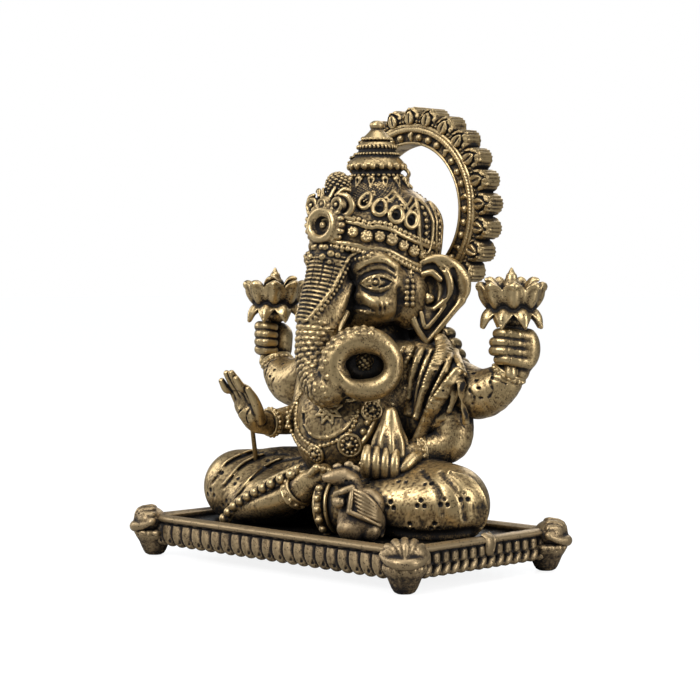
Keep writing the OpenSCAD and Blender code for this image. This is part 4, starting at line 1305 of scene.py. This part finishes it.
def halo_petals():
    clay = Clay(HALO_LOW, HALO_HIGH, 0.17)
    clay.put(ring_slab(17.3, petal_rim, HALO_Y + 0.3), HALO_LOW, HALO_HIGH, 0.3)
    clay.emboss(petal_relief)
    clay.keep(ring_slab(17, petal_rim, HALO_Y - 0.3))
    cast(clay, "halo_petals", "body_brass", detail=0.01)


def on_halo(angle, radius, front=HALO_Y):
    a = math.radians(angle)
    return np.array((radius * math.sin(a), front, HALO_Z + radius * math.cos(a)))


def halo_strings():
    """The twisted rope between band and petals, and the beads and hooks on the band."""
    clay = Clay((-17.6, 17.4, 54), (17.6, 19.6, 87.6), 0.16)
    for i in range(125):
        a = -HALO_HALF + 1 + i * 2.2
        p, q = on_halo(a - 0.7, 16.2), on_halo(a + 0.7, 16.65)
        clay.tube([(*p, 0.36), (*q, 0.36)], 0.05)
    clay.tube([(*on_halo(a, 16.4, HALO_Y + 0.2), 0.42) for a in np.arange(-137, 138, 3)], 0.1)
    clay.tube([(*on_halo(a, 13.7, HALO_Y + 0.1), 0.3) for a in np.arange(-137, 138, 3)], 0.1)
    cast(clay, "halo_rope", "bright_brass")
    clay = Clay((-16.4, 17.4, 55), (16.4, 19.9, 86.4), 0.16)
    for i, a in enumerate(range(-130, 131, 10)):
        if i % 4 == 1:
            hook = [on_halo(a + 1, 14.4), on_halo(a, 15.2), on_halo(a + 1.5, 15.7)]
            clay.tube([(*(p + (0, 0.4, 0)), r) for p, r in zip(hook, (0.42, 0.55, 0.4))], 0.15)
        else:
            clay.lump(on_halo(a, 14.9, HALO_Y + 0.35), (0.78, 0.8, 0.78), 0.1)
            clay.lump(on_halo(a, 14.9, HALO_Y - 0.5), 0.16, 0.05, cut=True)
    cast(clay, "halo_beads", "bright_brass")


def halo_brackets():
    clay = Clay((-14, 9, 43), (14, 23.4, 59), 0.22)
    for side in (1, -1):
        stub = [(side * 7, 13, 46.5, 3), (side * 9.6, 17.8, 51, 2.5), (side * 11, 20.7, 56.2, 2.1)]
        clay.limb(stub, 4, 0.5)
    cast(clay, "halo_brackets", "dark_brass")


# ---------- arms and hands ----------


def limb_piece(route, extra=None):
    """An arm through (x, y, z, radius) points, in a block of its own size."""
    route = smooth_path(route, 4)
    reach = route[:, 3].max() + 1.2
    clay = Clay(route[:, :3].min(0) - reach, route[:, :3].max(0) + reach, 0.2)
    clay.tube(route, 0.5)
    if extra:
        extra(clay)
    return clay


def arms():
    front_right = [(-13, 6.5, 40, 4.4), (-16.2, 7, 33, 3.9), (-15.6, 3.4, 28, 3.3), (-16, -6.6, 27, 2.3)]
    front_left = [(13, 7.5, 38.4, 4.2), (18.6, 8.4, 33, 4.3), (20.8, 8.3, 28.4, 4.3), (21.2, 7.5, 24.8, 3.9),
                  (19, 5, 23.3, 3.4), (17, 2.6, 22.9, 2.6)]
    cast(limb_piece(front_right), "right_front_arm", "body_brass")
    cast(limb_piece(front_left), "left_front_arm", "body_brass")
    rear = [(12, 8.6, 40, 4.2), (19.5, 9.8, 36.4, 4.6), (25.6, 10.6, 34, 4.9), (30.6, 11.4, 36, 3.8),
            (32.9, 12, 38.8, 2.6)]

    def marks(clay):
        for a, h in ((24.6, 38), (25, 36.8), (25.4, 35.4), (30.6, 36.6), (25.8, 33.6)):
            clay.lump(clay.seen(a, h), (0.5, 0.5, 0.16), 0.12, cut=True)
        for crack in (
            [(27.2, 39.6), (28, 38.2), (27.5, 36.6), (28, 35), (27.2, 33.6)],
            [(27.8, 37.4), (29.2, 37), (30.4, 36.2)],
            [(23.6, 35), (24.6, 33.6), (24.3, 32.4)],
        ):
            clay.tube([(*p, 0.18) for p in clay.trace(crack, 3)], 0.12, cut=True)

    clay = limb_piece(rear, marks)
    cast(clay, "left_rear_arm", "body_brass")
    cast(clay, "right_rear_arm", "body_brass", flip=True)


def fist():
    """The left rear fist: four stacked fingers round a stem, seen from the front left."""
    clay = Clay((26.6, 5.4, 36.6), (38.6, 18, 49.4), 0.13)

    clay.tube([spot(32.6, 14.6, 38.8, 2.6), spot(33, 14.4, 41, 3), spot(33, 14.2, 43.6, 3)], 0.6)
    clay.lump(facing(32.4, 14.8, 42.8), (3.2, 3.2, 3.6), 0.6)
    clay.lump(facing(34.5, 15.2, 42.8), (2.3, 3, 3.9), 0.8)
    for i in range(4):
        z = 45.6 - 1.62 * i
        reach = (-0.3, 0.4, 0.5, -0.5)[i]
        finger = [spot(34.6, 16.8, z - 0.5, 1.1), spot(32.6, 18, z - 0.1, 1.12),
                  spot(30.4 - reach * 0.5, 18.2, z + 0.25, 1.08),
                  spot(28.7 - reach, 16.9, z + 0.2, 1.02), spot(28.8 - reach * 0.5, 15, z, 0.8)]
        clay.limb(finger, 4, 0.1)
        clay.lump(facing(32.4, 18.3, z), (1.1, 1.1, 0.85), 0.3)
        clay.lump(facing(29.4 - reach, 17.9, z + 0.3), (0.95, 0.8, 0.8), 0.2)
        clay.tube([spot(30.9 - reach * 0.5, 19.3, z + 0.8, 0.07),
                   spot(30.8 - reach * 0.5, 19.3, z - 0.4, 0.07)], 0.25, cut=True)
    clay.lump(facing(34.9, 16.4, 43), (1.9, 2, 3.6), 0.9)
    clay.limb([spot(35.4, 14, 44, 1.2), spot(33.4, 15.6, 46.3, 1.1), spot(31, 16.2, 46.9, 0.9)], 4, 0.2)
    return clay


def open_hand():
    """The raised right hand, palm to the front, thumb toward the middle."""
    clay = Clay((-22.6, -17.4, 23.8), (-11.6, -4, 39.8), 0.12)
    clay.limb([(-16, -6.2, 27, 2.3), (-16.4, -8.6, 27.6, 2.4), (-17, -10.4, 29.4, 2.1)], 4, 0.5)
    clay.lump((-17.4, -10.4, 30.6), (3.1, 1.6, 3), 0.6, turn=(14, 0, 4))
    clay.lump((-15.4, -10.6, 28.8), (1.5, 1.5, 2), 0.6, turn=(14, 0, 0))
    for i in range(4):
        x = -15.2 - 1.45 * i
        tall = (36.2, 37.3, 37.2, 35.6)[i]
        finger = [(x, -10.9, 31.8, 0.98), (x - 0.3, -11.9, 33.8, 0.95), (x - 0.7, -13.2, tall - 1.6, 0.88),
                  (x - 0.9, -14.3, tall, 0.66)]
        clay.limb(finger, 4, 0.1)
        for h in (0.36, 0.68):
            y, z = -11 - 2.6 * h, 31.8 + (tall - 31.8) * h
            clay.tube([(x - 0.8, y - 0.9, z, 0.07), (x + 0.4, y - 0.9, z, 0.07)], 0.2, cut=True)
    thumb = [(-14.5, -9.4, 28, 1.25), (-13.6, -10.8, 30.2, 1.05), (-13.6, -12, 32.4, 0.9),
             (-14.2, -12.9, 34.2, 0.62)]
    clay.limb(thumb, 4, 0.15)
    palm_line = [(-15.4, -12.3, 32, 0.12), (-17, -12.3, 29.8, 0.14), (-18.6, -12.1, 29, 0.12)]
    clay.limb(palm_line, 3, 0.3, cut=True)
    thumb_line = [(-14.4, -11.6, 31.4, 0.12), (-15.6, -12.2, 28.8, 0.14), (-15.8, -11.4, 27.4, 0.1)]
    clay.tube(thumb_line, 0.3, cut=True)
    return clay


def cupped_hand():
    """The left front hand: four fingers curled up in front, thumb across the sweet."""
    clay = Clay((9.6, -10.4, 17.6), (21.4, 5.4, 28.6), 0.12)

    clay.limb([spot(14.6, 10.8, 22.9, 2.3), spot(12.8, 12, 22.4, 2.5), spot(10.6, 12.6, 21.6, 2.6)], 4, 0.5)
    clay.lump(facing(9, 12.4, 21.4), (3.6, 3.4, 2.4), 0.8, turn=(0, 0, 45))
    for i in range(4):
        a = 9.3 - 1.75 * i
        low = 19.4 + 0.25 * i
        finger = [spot(a + 0.4, 13, 21, 1.2), spot(a + 0.2, 15.4, low - 0.7, 1.25),
                  spot(a, 16.6, low + 0.7, 1.15),
                  spot(a + 0.1, 16.4, low + 2.4, 1.05), spot(a + 0.3, 15.4, low + 3.7, 0.85)]
        clay.limb(finger, 4, 0.1)
        clay.tube([spot(a - 0.6, 17.4, low + 1.2, 0.07), spot(a + 0.6, 17.4, low + 1.3, 0.07)], 0.2, cut=True)
    thumb = [spot(14.2, 12, 22.6, 1.5), spot(13, 14.2, 22, 1.35), spot(11.8, 15.7, 20.9, 1.15),
             spot(10.9, 16.4, 20.2, 0.8)]
    clay.limb(thumb, 4, 0.15)
    return clay


def hands():
    clay = fist()
    cast(clay, "left_rear_hand", "body_brass")
    cast(clay, "right_rear_hand", "body_brass", flip=True)
    cast(open_hand(), "right_front_hand", "body_brass")
    cast(cupped_hand(), "left_front_hand", "body_brass")
    clay = Clay((-21.4, -11, 18.2), (-16.4, -4.4, 28), 0.13)
    clay.tube([(-17.6, -8.8, 26.6, 0.45), (-20, -5.6, 19.4, 0.5)], 0.2)
    cast(clay, "hand_pin", "dark_brass")


def bracelet(clay, centre, axis, radius, count=18):
    """Three strands round a wrist, the middle one of beads."""
    centre, axis = np.array(centre, float), unit(axis)
    clay.ring(centre, axis, radius - 0.15, 0.3, 0.1, tall=2.4)
    for offset in (-0.75, 0.75):
        clay.ring(centre + offset * axis, axis, radius, 0.26, 0.08)
    u = unit(np.cross(axis, (0.3, 0, 1)))
    v = np.cross(axis, u)
    for a in turns(count):
        clay.lump(centre + (radius + 0.2) * spoke(u, v, a), 0.42, 0.05)


def bracelets():
    clay = Clay((-37, -8, 18.6), (37, 17.6, 43.2), 0.2)
    for side in (-1, 1):
        bracelet(clay, (side * 32.3, 11.8, 38.1), (side * 0.5, 0.1, 0.86), 3.05)
    bracelet(clay, (-16, -5, 27.1), (-0.03, -1, -0.05), 2.6)
    bracelet(clay, (17.5, 3.2, 23), (-0.62, -0.78, -0.1), 3.1)
    cast(clay, "bracelets", "bright_brass")


# ---------- flowers and sweet ----------


def petal(clay, centre, angle, route, width):
    """A pointed petal with a keel, curving out from the centre line."""
    a = math.radians(angle)
    out, side = np.array((math.cos(a), math.sin(a), 0)), np.array((-math.sin(a), math.cos(a), 0))
    points = smooth_path([(r, z) for r, z in route], 4)
    n = len(points)
    strip = []
    for i, (r, z) in enumerate(points):
        t = i / (n - 1)
        wide = width * max(0.14, math.sin(math.pi * min(1, 0.22 + 0.78 * t)) ** 0.8)
        strip.append((*(np.array(centre) + r * out + (0, 0, z)), wide, 0.42))
    clay.tube(strip, 0.12, side=side)
    clay.tube([(*p[:3], 0.5 * p[3] + 0.1) for p in strip[1:-1]], 0.5)
    clay.tube([(*(np.array(p[:3]) + 0.45 * out - (0, 0, 0.3)), 0.1) for p in strip[2:-2]], 0.25, cut=True)


def lotus():
    """Three tiers of petals, the lowest one hanging, round a pointed bud."""
    x, y = 32.9, 11.8
    centre = (x, y, 0)
    hanging = [(1.8, 50), (3.8, 49.9), (5.2, 48.8), (5.9, 47)]
    spreading = [(1.8, 50.6), (3.7, 51.2), (4.9, 52.8), (5.3, 54.2), (6, 54.8), (6.4, 54.4)]
    rising = [(1.2, 52), (2.4, 53), (3.3, 54.6), (4, 55.8), (4.9, 55.9)]
    clay = Clay((26, 4.9, 37.2), (39.8, 18.7, 58.4), 0.17)
    clay.tube([(*facing(31.3, 17.1, 38.2), 1.25), (*facing(31.4, 16, 44), 1.1),
               (*facing(31.6, 14.9, 48), 1.2)], 0.3)
    clay.lump((x, y, 48.6), (2.7, 2.7, 2.2), 0.5)
    clay.lump((x, y, 52), (3, 3, 2.4), 0.5)
    for i in range(8):
        petal(clay, centre, 45 * i + 22, hanging, 2.0)
    for i in range(8):
        petal(clay, centre, 45 * i, spreading, 2.4)
    for angle in (35, 105, 165, 235):
        petal(clay, centre, angle, rising, 1.9)
    clay.tube([(x, y, 52, 2.2), (x, y, 54.4, 2), (x, y, 56.4, 1.1), (x, y, 58, 0.3)], 0.15)
    for i, a in enumerate(turns(30)):
        clay.lump((x + 3.3 * math.cos(a), y + 3.3 * math.sin(a), 51.0 + 0.3 * (i % 2)), 0.36, 0.08)
    return clay


def flowers():
    clay = lotus()
    cast(clay, "left_lotus", "bright_brass")
    cast(clay, "right_lotus", "bright_brass", flip=True)


def modak():
    """A tall drop of dough drawn up to a point, pleated at its foot."""
    clay = Clay((8.6, -9, 20.6), (19.8, 2.4, 34.2), 0.14)
    x, y, _ = facing(8.6, 12.6, 0)
    clay.limb([(x, y, 23.8, 3.3), (x + 0.1, y, 26.2, 2.7), (x + 0.2, y, 28.6, 1.9),
               (x + 0.2, y, 30.4, 1.35)], 4, 0.5)
    for a in turns(9):
        c, s = math.cos(a), math.sin(a)
        pleat = [(x + 2.9 * c, y + 2.9 * s, 22.6, 0.9), (x + 2.8 * c, y + 2.8 * s, 25.2, 0.7),
                 (x + 1.6 * c, y + 1.6 * s, 28.2, 0.4)]
        clay.limb(pleat, 4, 0.3)
    cast(clay, "modak", "bright_brass")


# ---------- clothing and ornaments ----------


def shoulder_under():
    """The torso and upper arm that the shawl lies on, as a block to drop points onto."""
    clay = Clay((6, -12, 22), (30, 16, 50), 0.25)
    body_lumps(clay, BELLY, CHEST, LEFT_SHOULDER, LEFT_SIDE)
    clay.lump(facing(18, 0, 40.6), 4.7, 1)
    clay.limb([(13, 7.5, 38.4, 4.4), (18.6, 8.4, 33, 4.5), (20.8, 8.3, 28.4, 4.4)], 4, 2)
    clay.limb([(12, 8.6, 40, 4.4), (19.5, 9.8, 36.4, 4.8), (25.6, 10.6, 34, 5.1)], 4, 2)
    return clay


def shoulder_shawl():
    under = shoulder_under()
    clay = Clay((5, -12, 21.6), (27, 12, 48.4), 0.16)
    pleats = [
        ([(14.9, 42.4), (14.2, 40), (13.1, 36.4), (12.5, 33.2)], 1.0, 0.6, 0.2),
        ([(16.6, 42), (15.4, 38.4), (14.2, 33.4), (13.6, 30)], 0.9, 0.7, 0.5),
        ([(18.6, 44.6), (19.2, 42.4), (17.8, 39.2), (15.9, 35.4), (14.3, 29.6)], 1.7, 0.8, 1.2),
        ([(21.4, 38.6), (19, 34.6), (16.6, 31), (14, 25)], 1.6, 0.85, 2.1),
        ([(18.8, 44.8), (20.8, 42.4), (22, 39.6), (22.6, 38)], 0.85, 0.6, 0.5),
        ([(21.2, 38.4), (22.3, 35.5), (22.7, 32.1), (23, 28.8)], 0.9, 0.6, 0.9),
        ([(20.4, 41.4), (18.8, 37.6), (16.8, 33.8), (15.2, 30)], 0.75, 0.6, 0.7),
        ([(20.6, 37.2), (20.8, 34), (19.8, 31)], 0.7, 0.5, 0.5),
    ]
    sheet = [([(15.6, 42), (15.4, 38), (14.4, 34), (13.8, 30)], 2.6),
             ([(20, 42), (19.6, 38), (18, 34.4), (16.2, 29.6)], 2.6),
             ([(21.4, 39), (20.6, 35), (18.4, 30.6), (16, 26)], 1.9)]
    clay.lump(facing(18, 0, 40.6), 4.8, 0.3)
    for route, wide in sheet:
        points = under.trace(route, 4)
        clay.tube([(*p, wide, 0.8) for p in points], 0.3, side=facing(1, 0.25, 0))
    for route, wide, thick, lift in pleats:
        points = under.trace(route, 6)
        n = len(points)
        strip = []
        for i, p in enumerate(points):
            t = i / (n - 1)
            raised = np.array(p) + np.array(facing(0, 1.1 + lift * (1 - 0.3 * t), 0))
            strip.append((*raised, wide * (0.55 + 0.75 * math.sin(math.pi * min(0.85, t + 0.1))), thick))
        clay.tube(strip, 0.12, side=facing(1, -0.55, 0))
        clay.tube([(*(np.array(p[:3]) + np.array(facing(-0.95 * p[3], -0.1, 0))), 0.24) for p in strip],
                  0.45, cut=True)
    for a, h in ((17.4, 38.4), (18.6, 35), (15.8, 41.8), (20, 40.4), (16.4, 32.4), (19.2, 33.2)):
        clay.lump(clay.seen(a, h), (0.28, 0.28, 0.2), 0.1, cut=True)
    cast(clay, "shoulder_shawl", "body_brass")


def hair_locks():
    """Six coiled curls behind each shoulder."""
    clay = Clay((-24, 6, 34), (24, 17.4, 50), 0.18)
    curls = ((13.2, 12.8, 46.6), (15.6, 13, 45.2), (17.4, 12.8, 43.2),
             (18.8, 12.4, 41.2), (20.2, 12, 39.4), (21.2, 11.6, 37.6))
    for side in (1, -1):
        for x, y, z in curls:
            c = np.array((side * x, y, z))
            clay.lump(c, (1.5, 1.7, 1.4), 0.4)
            coil = []
            for t in np.arange(0, 9, 0.5):
                shrink = 1 - t / 12
                coil.append((*(c + (side * math.cos(t) * shrink, -1.1, math.sin(t) * shrink)), 0.4))
            clay.tube(coil, 0.1)
    cast(clay, "hair_locks", "dark_brass")


def bead_string(under, clay, route, spacing, size, k):
    """A string of beads laid on the body along a route."""
    points = under.trace(route, 6)
    lengths = lengths_along(points)
    for at in np.arange(0.2, lengths[-1], spacing):
        clay.lump(point_along(at, lengths, points), size, k)


def belly_under():
    """The belly and chest that the strings lie on, as a block to drop points onto."""
    clay = Clay((-14, -11, 12), (16, 12, 46), 0.25)
    body_lumps(clay, BELLY, CHEST, ((10.5, 6.5, 41.5), (5.5, 5, 5)), RIGHT_SHOULDER)
    return clay


def belly_ornaments():
    under = belly_under()
    clay = Clay((-13.5, -11, 17), (15, 8, 43), 0.15)
    strings = [
        (1.05, 0.5, 0.06, [(-9.4, 31.4), (-9.6, 27.4), (-8.2, 24.8), (-5.4, 23.6), (-2, 24.6), (1.2, 27),
                           (2.7, 31)]),
        (1.4, 0.62, 0.06, [(9.6, 32.6), (9, 30.4), (8, 27.4), (6.6, 24.6), (4.6, 21.8), (2.6, 19.8)]),
        (0.62, 0.62, 0.25, [(6.4, 33.4), (6.2, 30.2), (5, 27), (3.2, 24.2), (1.2, 21.8)]),
        (2.0, 0.78, 0.06, [(4.5, 28.6), (3.4, 26.2)]),
        (0.72, 0.42, 0.06, [(0.2, 32.4), (1.4, 32.6), (2.6, 33), (4.2, 34)]),
        (0.95, 0.45, 0.06, [(-11.4, 30.6), (-11.2, 27.4), (-9.6, 24), (-6.8, 21.8), (-4, 20.6)]),
        (0.85, 0.5, 0.06, [(14, 43.4), (12.7, 41.4), (11.7, 39.4), (11.3, 35.4)]),
        (0.8, 0.48, 0.06, [(12.4, 44), (11.2, 42.6), (10.2, 40.6)]),
        (0.8, 0.42, 0.06, [(-8.6, 33.4), (-10.4, 30.4), (-11.6, 26.6)]),
    ]
    for spacing, size, k, route in strings:
        bead_string(under, clay, route, spacing, size, k)
    belt = [(x, -9.2 * math.cos(x * 0.07) - 0.3, 18.4 - 0.02 * x * x) for x in np.linspace(-10, 11, 34)]
    for i, p in enumerate(belt):
        clay.lump(p, 0.55 if i % 2 else 0.42, 0.08)
    cast(clay, "belly_garland", "bright_brass")

    clay = Clay((-1.6, -11.4, 27), (8.4, -3, 36), 0.11)
    centre = under.seen(-3.1, 30.6)
    out = unit((0.35, -0.9, 0.32))
    side, up = face_axes(out)
    for a in turns(8, 0.5):
        tip = centre + 2.75 * spoke(side, up, a) - 0.1 * out
        for b in (a - 0.39, a + 0.39):
            notch = centre + 1.35 * spoke(side, up, b) + 0.25 * out
            clay.tube([(*tip, 0.24), (*notch, 0.34)], 0.08)
    clay.lump(centre + 0.15 * out, (1.35, 1.35, 0.5), 0.1, along=(side, up, out))
    for a in turns(7):
        clay.lump(centre + 0.8 * spoke(side, up, a) + 0.45 * out, 0.26, 0.04)
    cast(clay, "star_pendant", "bright_brass")

    clay = Clay((-5, -12, 18), (14, 2, 35), 0.13)
    for across, height, radius in ((5.1, 30.6, 2.1), (1.0, 24.1, 2.35), (-5.5, 22.1, 2.0)):
        place = under.seen(across, height)
        normal = unit((place - BELLY[0]) / np.square(BELLY[1]))
        s, u = face_axes(normal)
        clay.lump(place, (radius, radius, 0.6), 0.1, along=(s, u, normal))
        clay.ring(place + 0.25 * normal, normal, radius - 0.2, 0.3, 0.08)
        for a in turns(10):
            clay.lump(place + 0.62 * radius * spoke(s, u, a) + 0.5 * normal, 0.38, 0.05)
        clay.lump(place + 0.6 * normal, 0.62, 0.08)
        for a in turns(5):
            clay.lump(place + 0.3 * radius * spoke(s, u, a) + 0.7 * normal, 0.24, 0.04)
    cast(clay, "necklace_medallions", "bright_brass")


# ---------- mouse ----------


def mouse():
    clay = Clay((7.6, -19.4, 6.6), (23.4, -5.6, 24.2), 0.13)

    clay.limb([spot(2.2, 19.6, 10.4, 3.6), spot(2.2, 19.8, 13.4, 3.2), spot(1.2, 19.2, 16.6, 2.4)], 4, 0.6)
    clay.lump(facing(3.4, 19.6, 10.6), (4.4, 3.6, 3.6), 0.8, turn=(0, 0, 45))
    clay.lump(facing(0.2, 19.4, 18.6), (2.7, 2.4, 1.9), 0.6, turn=(0, 12, 45))
    clay.limb([spot(-0.4, 20, 18.9, 1.8), spot(-2.2, 20.7, 19, 1.3), spot(-3.4, 21, 18.9, 0.85)], 3, 0.4)
    for across, height in ((-1.3, 20.7), (0.8, 21.1), (2, 20.3)):
        clay.lump(facing(across, 19.2, height), (0.95, 0.6, 0.8), 0.25, turn=(0, 0, 45))
    for across in (0.3, 1.2):
        clay.lump(facing(across, 21.8, 18.3), 0.34, 0.08, cut=True)
    clay.tube([spot(-3.4, 21.7, 18.5, 0.1), spot(-1.6, 21.9, 18, 0.14), spot(0, 21.9, 17.5, 0.14)], 0.2,
              cut=True)
    arm = [spot(1.3, 22.2, 17, 0.75), spot(-0.2, 22.6, 16.6, 0.7), spot(-1.6, 22, 15.9, 0.6)]
    clay.limb(arm, 4, 0.12)
    clay.lump(facing(-1, 22, 14.4), 1.3, 0.12)
    for strap in (
        [spot(1.4, 22.3, 17.4, 0.4), spot(1.1, 23.1, 15, 0.5), spot(0.8, 23.4, 12.8, 0.5)],
        [spot(0.8, 23.4, 12.8, 0.5), spot(3.6, 23.6, 11.6, 0.5), spot(6.5, 22, 10, 0.4)],
    ):
        clay.limb(strap, 4, 0.12)
    clay.lump(facing(1.2, 21.4, 9.4), (2.7, 2.3, 2.3), 0.4, turn=(0, 0, 45))
    clay.lump(facing(4.8, 21.2, 9), (2, 2, 2), 0.2, turn=(0, 0, 45))
    tail = [spot(6.8, 19.4, 8, 0.6), spot(7.4, 18.4, 10.6, 0.5), spot(7, 17.6, 13, 0.4)]
    clay.limb(tail, 4, 0.2)
    clay.keep(above(FLOOR_TOP))
    cast(clay, "mouse", "base_brass")

    clay = Clay((11, -19.6, 7.6), (23.6, -6, 19), 0.13)
    clay.lump(facing(4.2, 20.4, 13.8), (3.3, 2.2, 3.2), 0.3, turn=(0, 30, 45))
    for i in range(6):
        pleat = [spot(1.8, 22.5, 16.8 - 0.7 * i, 0.34), spot(3.6, 23.1, 15.9 - 0.72 * i, 0.5),
                 spot(5.4, 22.7, 14.2 - 0.55 * i, 0.5), spot(6.7, 21.6, 12.4 - 0.35 * i, 0.35)]
        clay.limb(pleat, 4, 0.06)
    cast(clay, "mouse_saddle", "base_brass")


# ---------- build ----------

tray_floor()
rails()
corners()
torso()
right_leg()
left_leg()
toes_and_shin()
hem_bands()
anklet()
head_and_trunk()
laddu()
tusk()
ears()
crown_dome()
crown_band()
crown_jewel()
crown_tiers()
crown_finial()
crown_scroll()
halo_band()
halo_petals()
halo_strings()
halo_brackets()
arms()
hands()
bracelets()
flowers()
modak()
shoulder_shawl()
hair_locks()
belly_ornaments()
mouse()


# ---------- floor, lights and camera ----------


def stage():
    bpy.ops.mesh.primitive_plane_add(size=6)
    floor = bpy.context.object
    floor.name = "floor"
    material = bpy.data.materials.new("floor")
    material.use_nodes = True
    nodes, links = material.node_tree.nodes, material.node_tree.links
    surface = nodes["Principled BSDF"]
    surface.inputs["Base Color"].default_value = (0.32, 0.32, 0.32, 1)
    surface.inputs["Roughness"].default_value = 0.16
    surface.inputs["Specular IOR Level"].default_value = 0.5
    surface.inputs["Emission Color"].default_value = (1, 1, 1, 1)
    glow = nodes.new("ShaderNodeMath")
    glow.operation = "MULTIPLY"
    glow.inputs[1].default_value = 0.86
    links.new(nodes.new("ShaderNodeLightPath").outputs["Is Camera Ray"], glow.inputs[0])
    links.new(glow.outputs[0], surface.inputs["Emission Strength"])
    floor.data.materials.append(material)


def softbox(name, place, size, power, aim=(0, 0, 0.045)):
    data = bpy.data.lights.new(name, "AREA")
    data.shape = "RECTANGLE"
    data.size, data.size_y = size
    data.energy = power
    lamp = bpy.data.objects.new(name, data)
    bpy.context.collection.objects.link(lamp)
    lamp.location = place
    lamp.rotation_euler = (Vector(place) - Vector(aim)).to_track_quat("Z", "Y").to_euler()


def lights():
    softbox("key", (0.02, -0.42, 0.34), (0.26, 0.22), 1.85)
    softbox("side", (0.44, 0.10, 0.20), (0.16, 0.30), 1.0)
    softbox("top", (0.05, 0.0, 0.5), (0.35, 0.35), 0.95)
    softbox("left", (-0.40, -0.14, 0.20), (0.16, 0.30), 0.56)
    softbox("back", (-0.2, 0.45, 0.3), (0.3, 0.3), 0.6)
    world = bpy.context.scene.world or bpy.data.worlds.new("world")
    bpy.context.scene.world = world
    world.use_nodes = True
    nodes, links = world.node_tree.nodes, world.node_tree.links
    nodes.clear()
    room = nodes.new("ShaderNodeBackground")
    room.inputs["Color"].default_value = (0.9, 0.95, 1, 1)
    room.inputs["Strength"].default_value = 0.2
    paper = nodes.new("ShaderNodeBackground")
    paper.inputs["Color"].default_value = (1, 1, 1, 1)
    paper.inputs["Strength"].default_value = 1.0
    seen = nodes.new("ShaderNodeLightPath")
    mix = nodes.new("ShaderNodeMixShader")
    out = nodes.new("ShaderNodeOutputWorld")
    links.new(seen.outputs["Is Camera Ray"], mix.inputs["Fac"])
    links.new(room.outputs[0], mix.inputs[1])
    links.new(paper.outputs[0], mix.inputs[2])
    links.new(mix.outputs[0], out.inputs["Surface"])


def camera():
    data = bpy.data.cameras.new("camera")
    data.lens, data.sensor_width = 102.857, 36
    eye_point = bpy.data.objects.new("camera", data)
    bpy.context.collection.objects.link(eye_point)
    eye_point.location = (0.27945, -0.27809, 0.05813)
    down, turn = 2.343, 44.995
    eye_point.rotation_euler = (math.radians(90 - down), 0, math.radians(turn))
    bpy.context.scene.camera = eye_point


stage()
lights()
camera()
bpy.context.scene.view_settings.view_transform = "Standard"
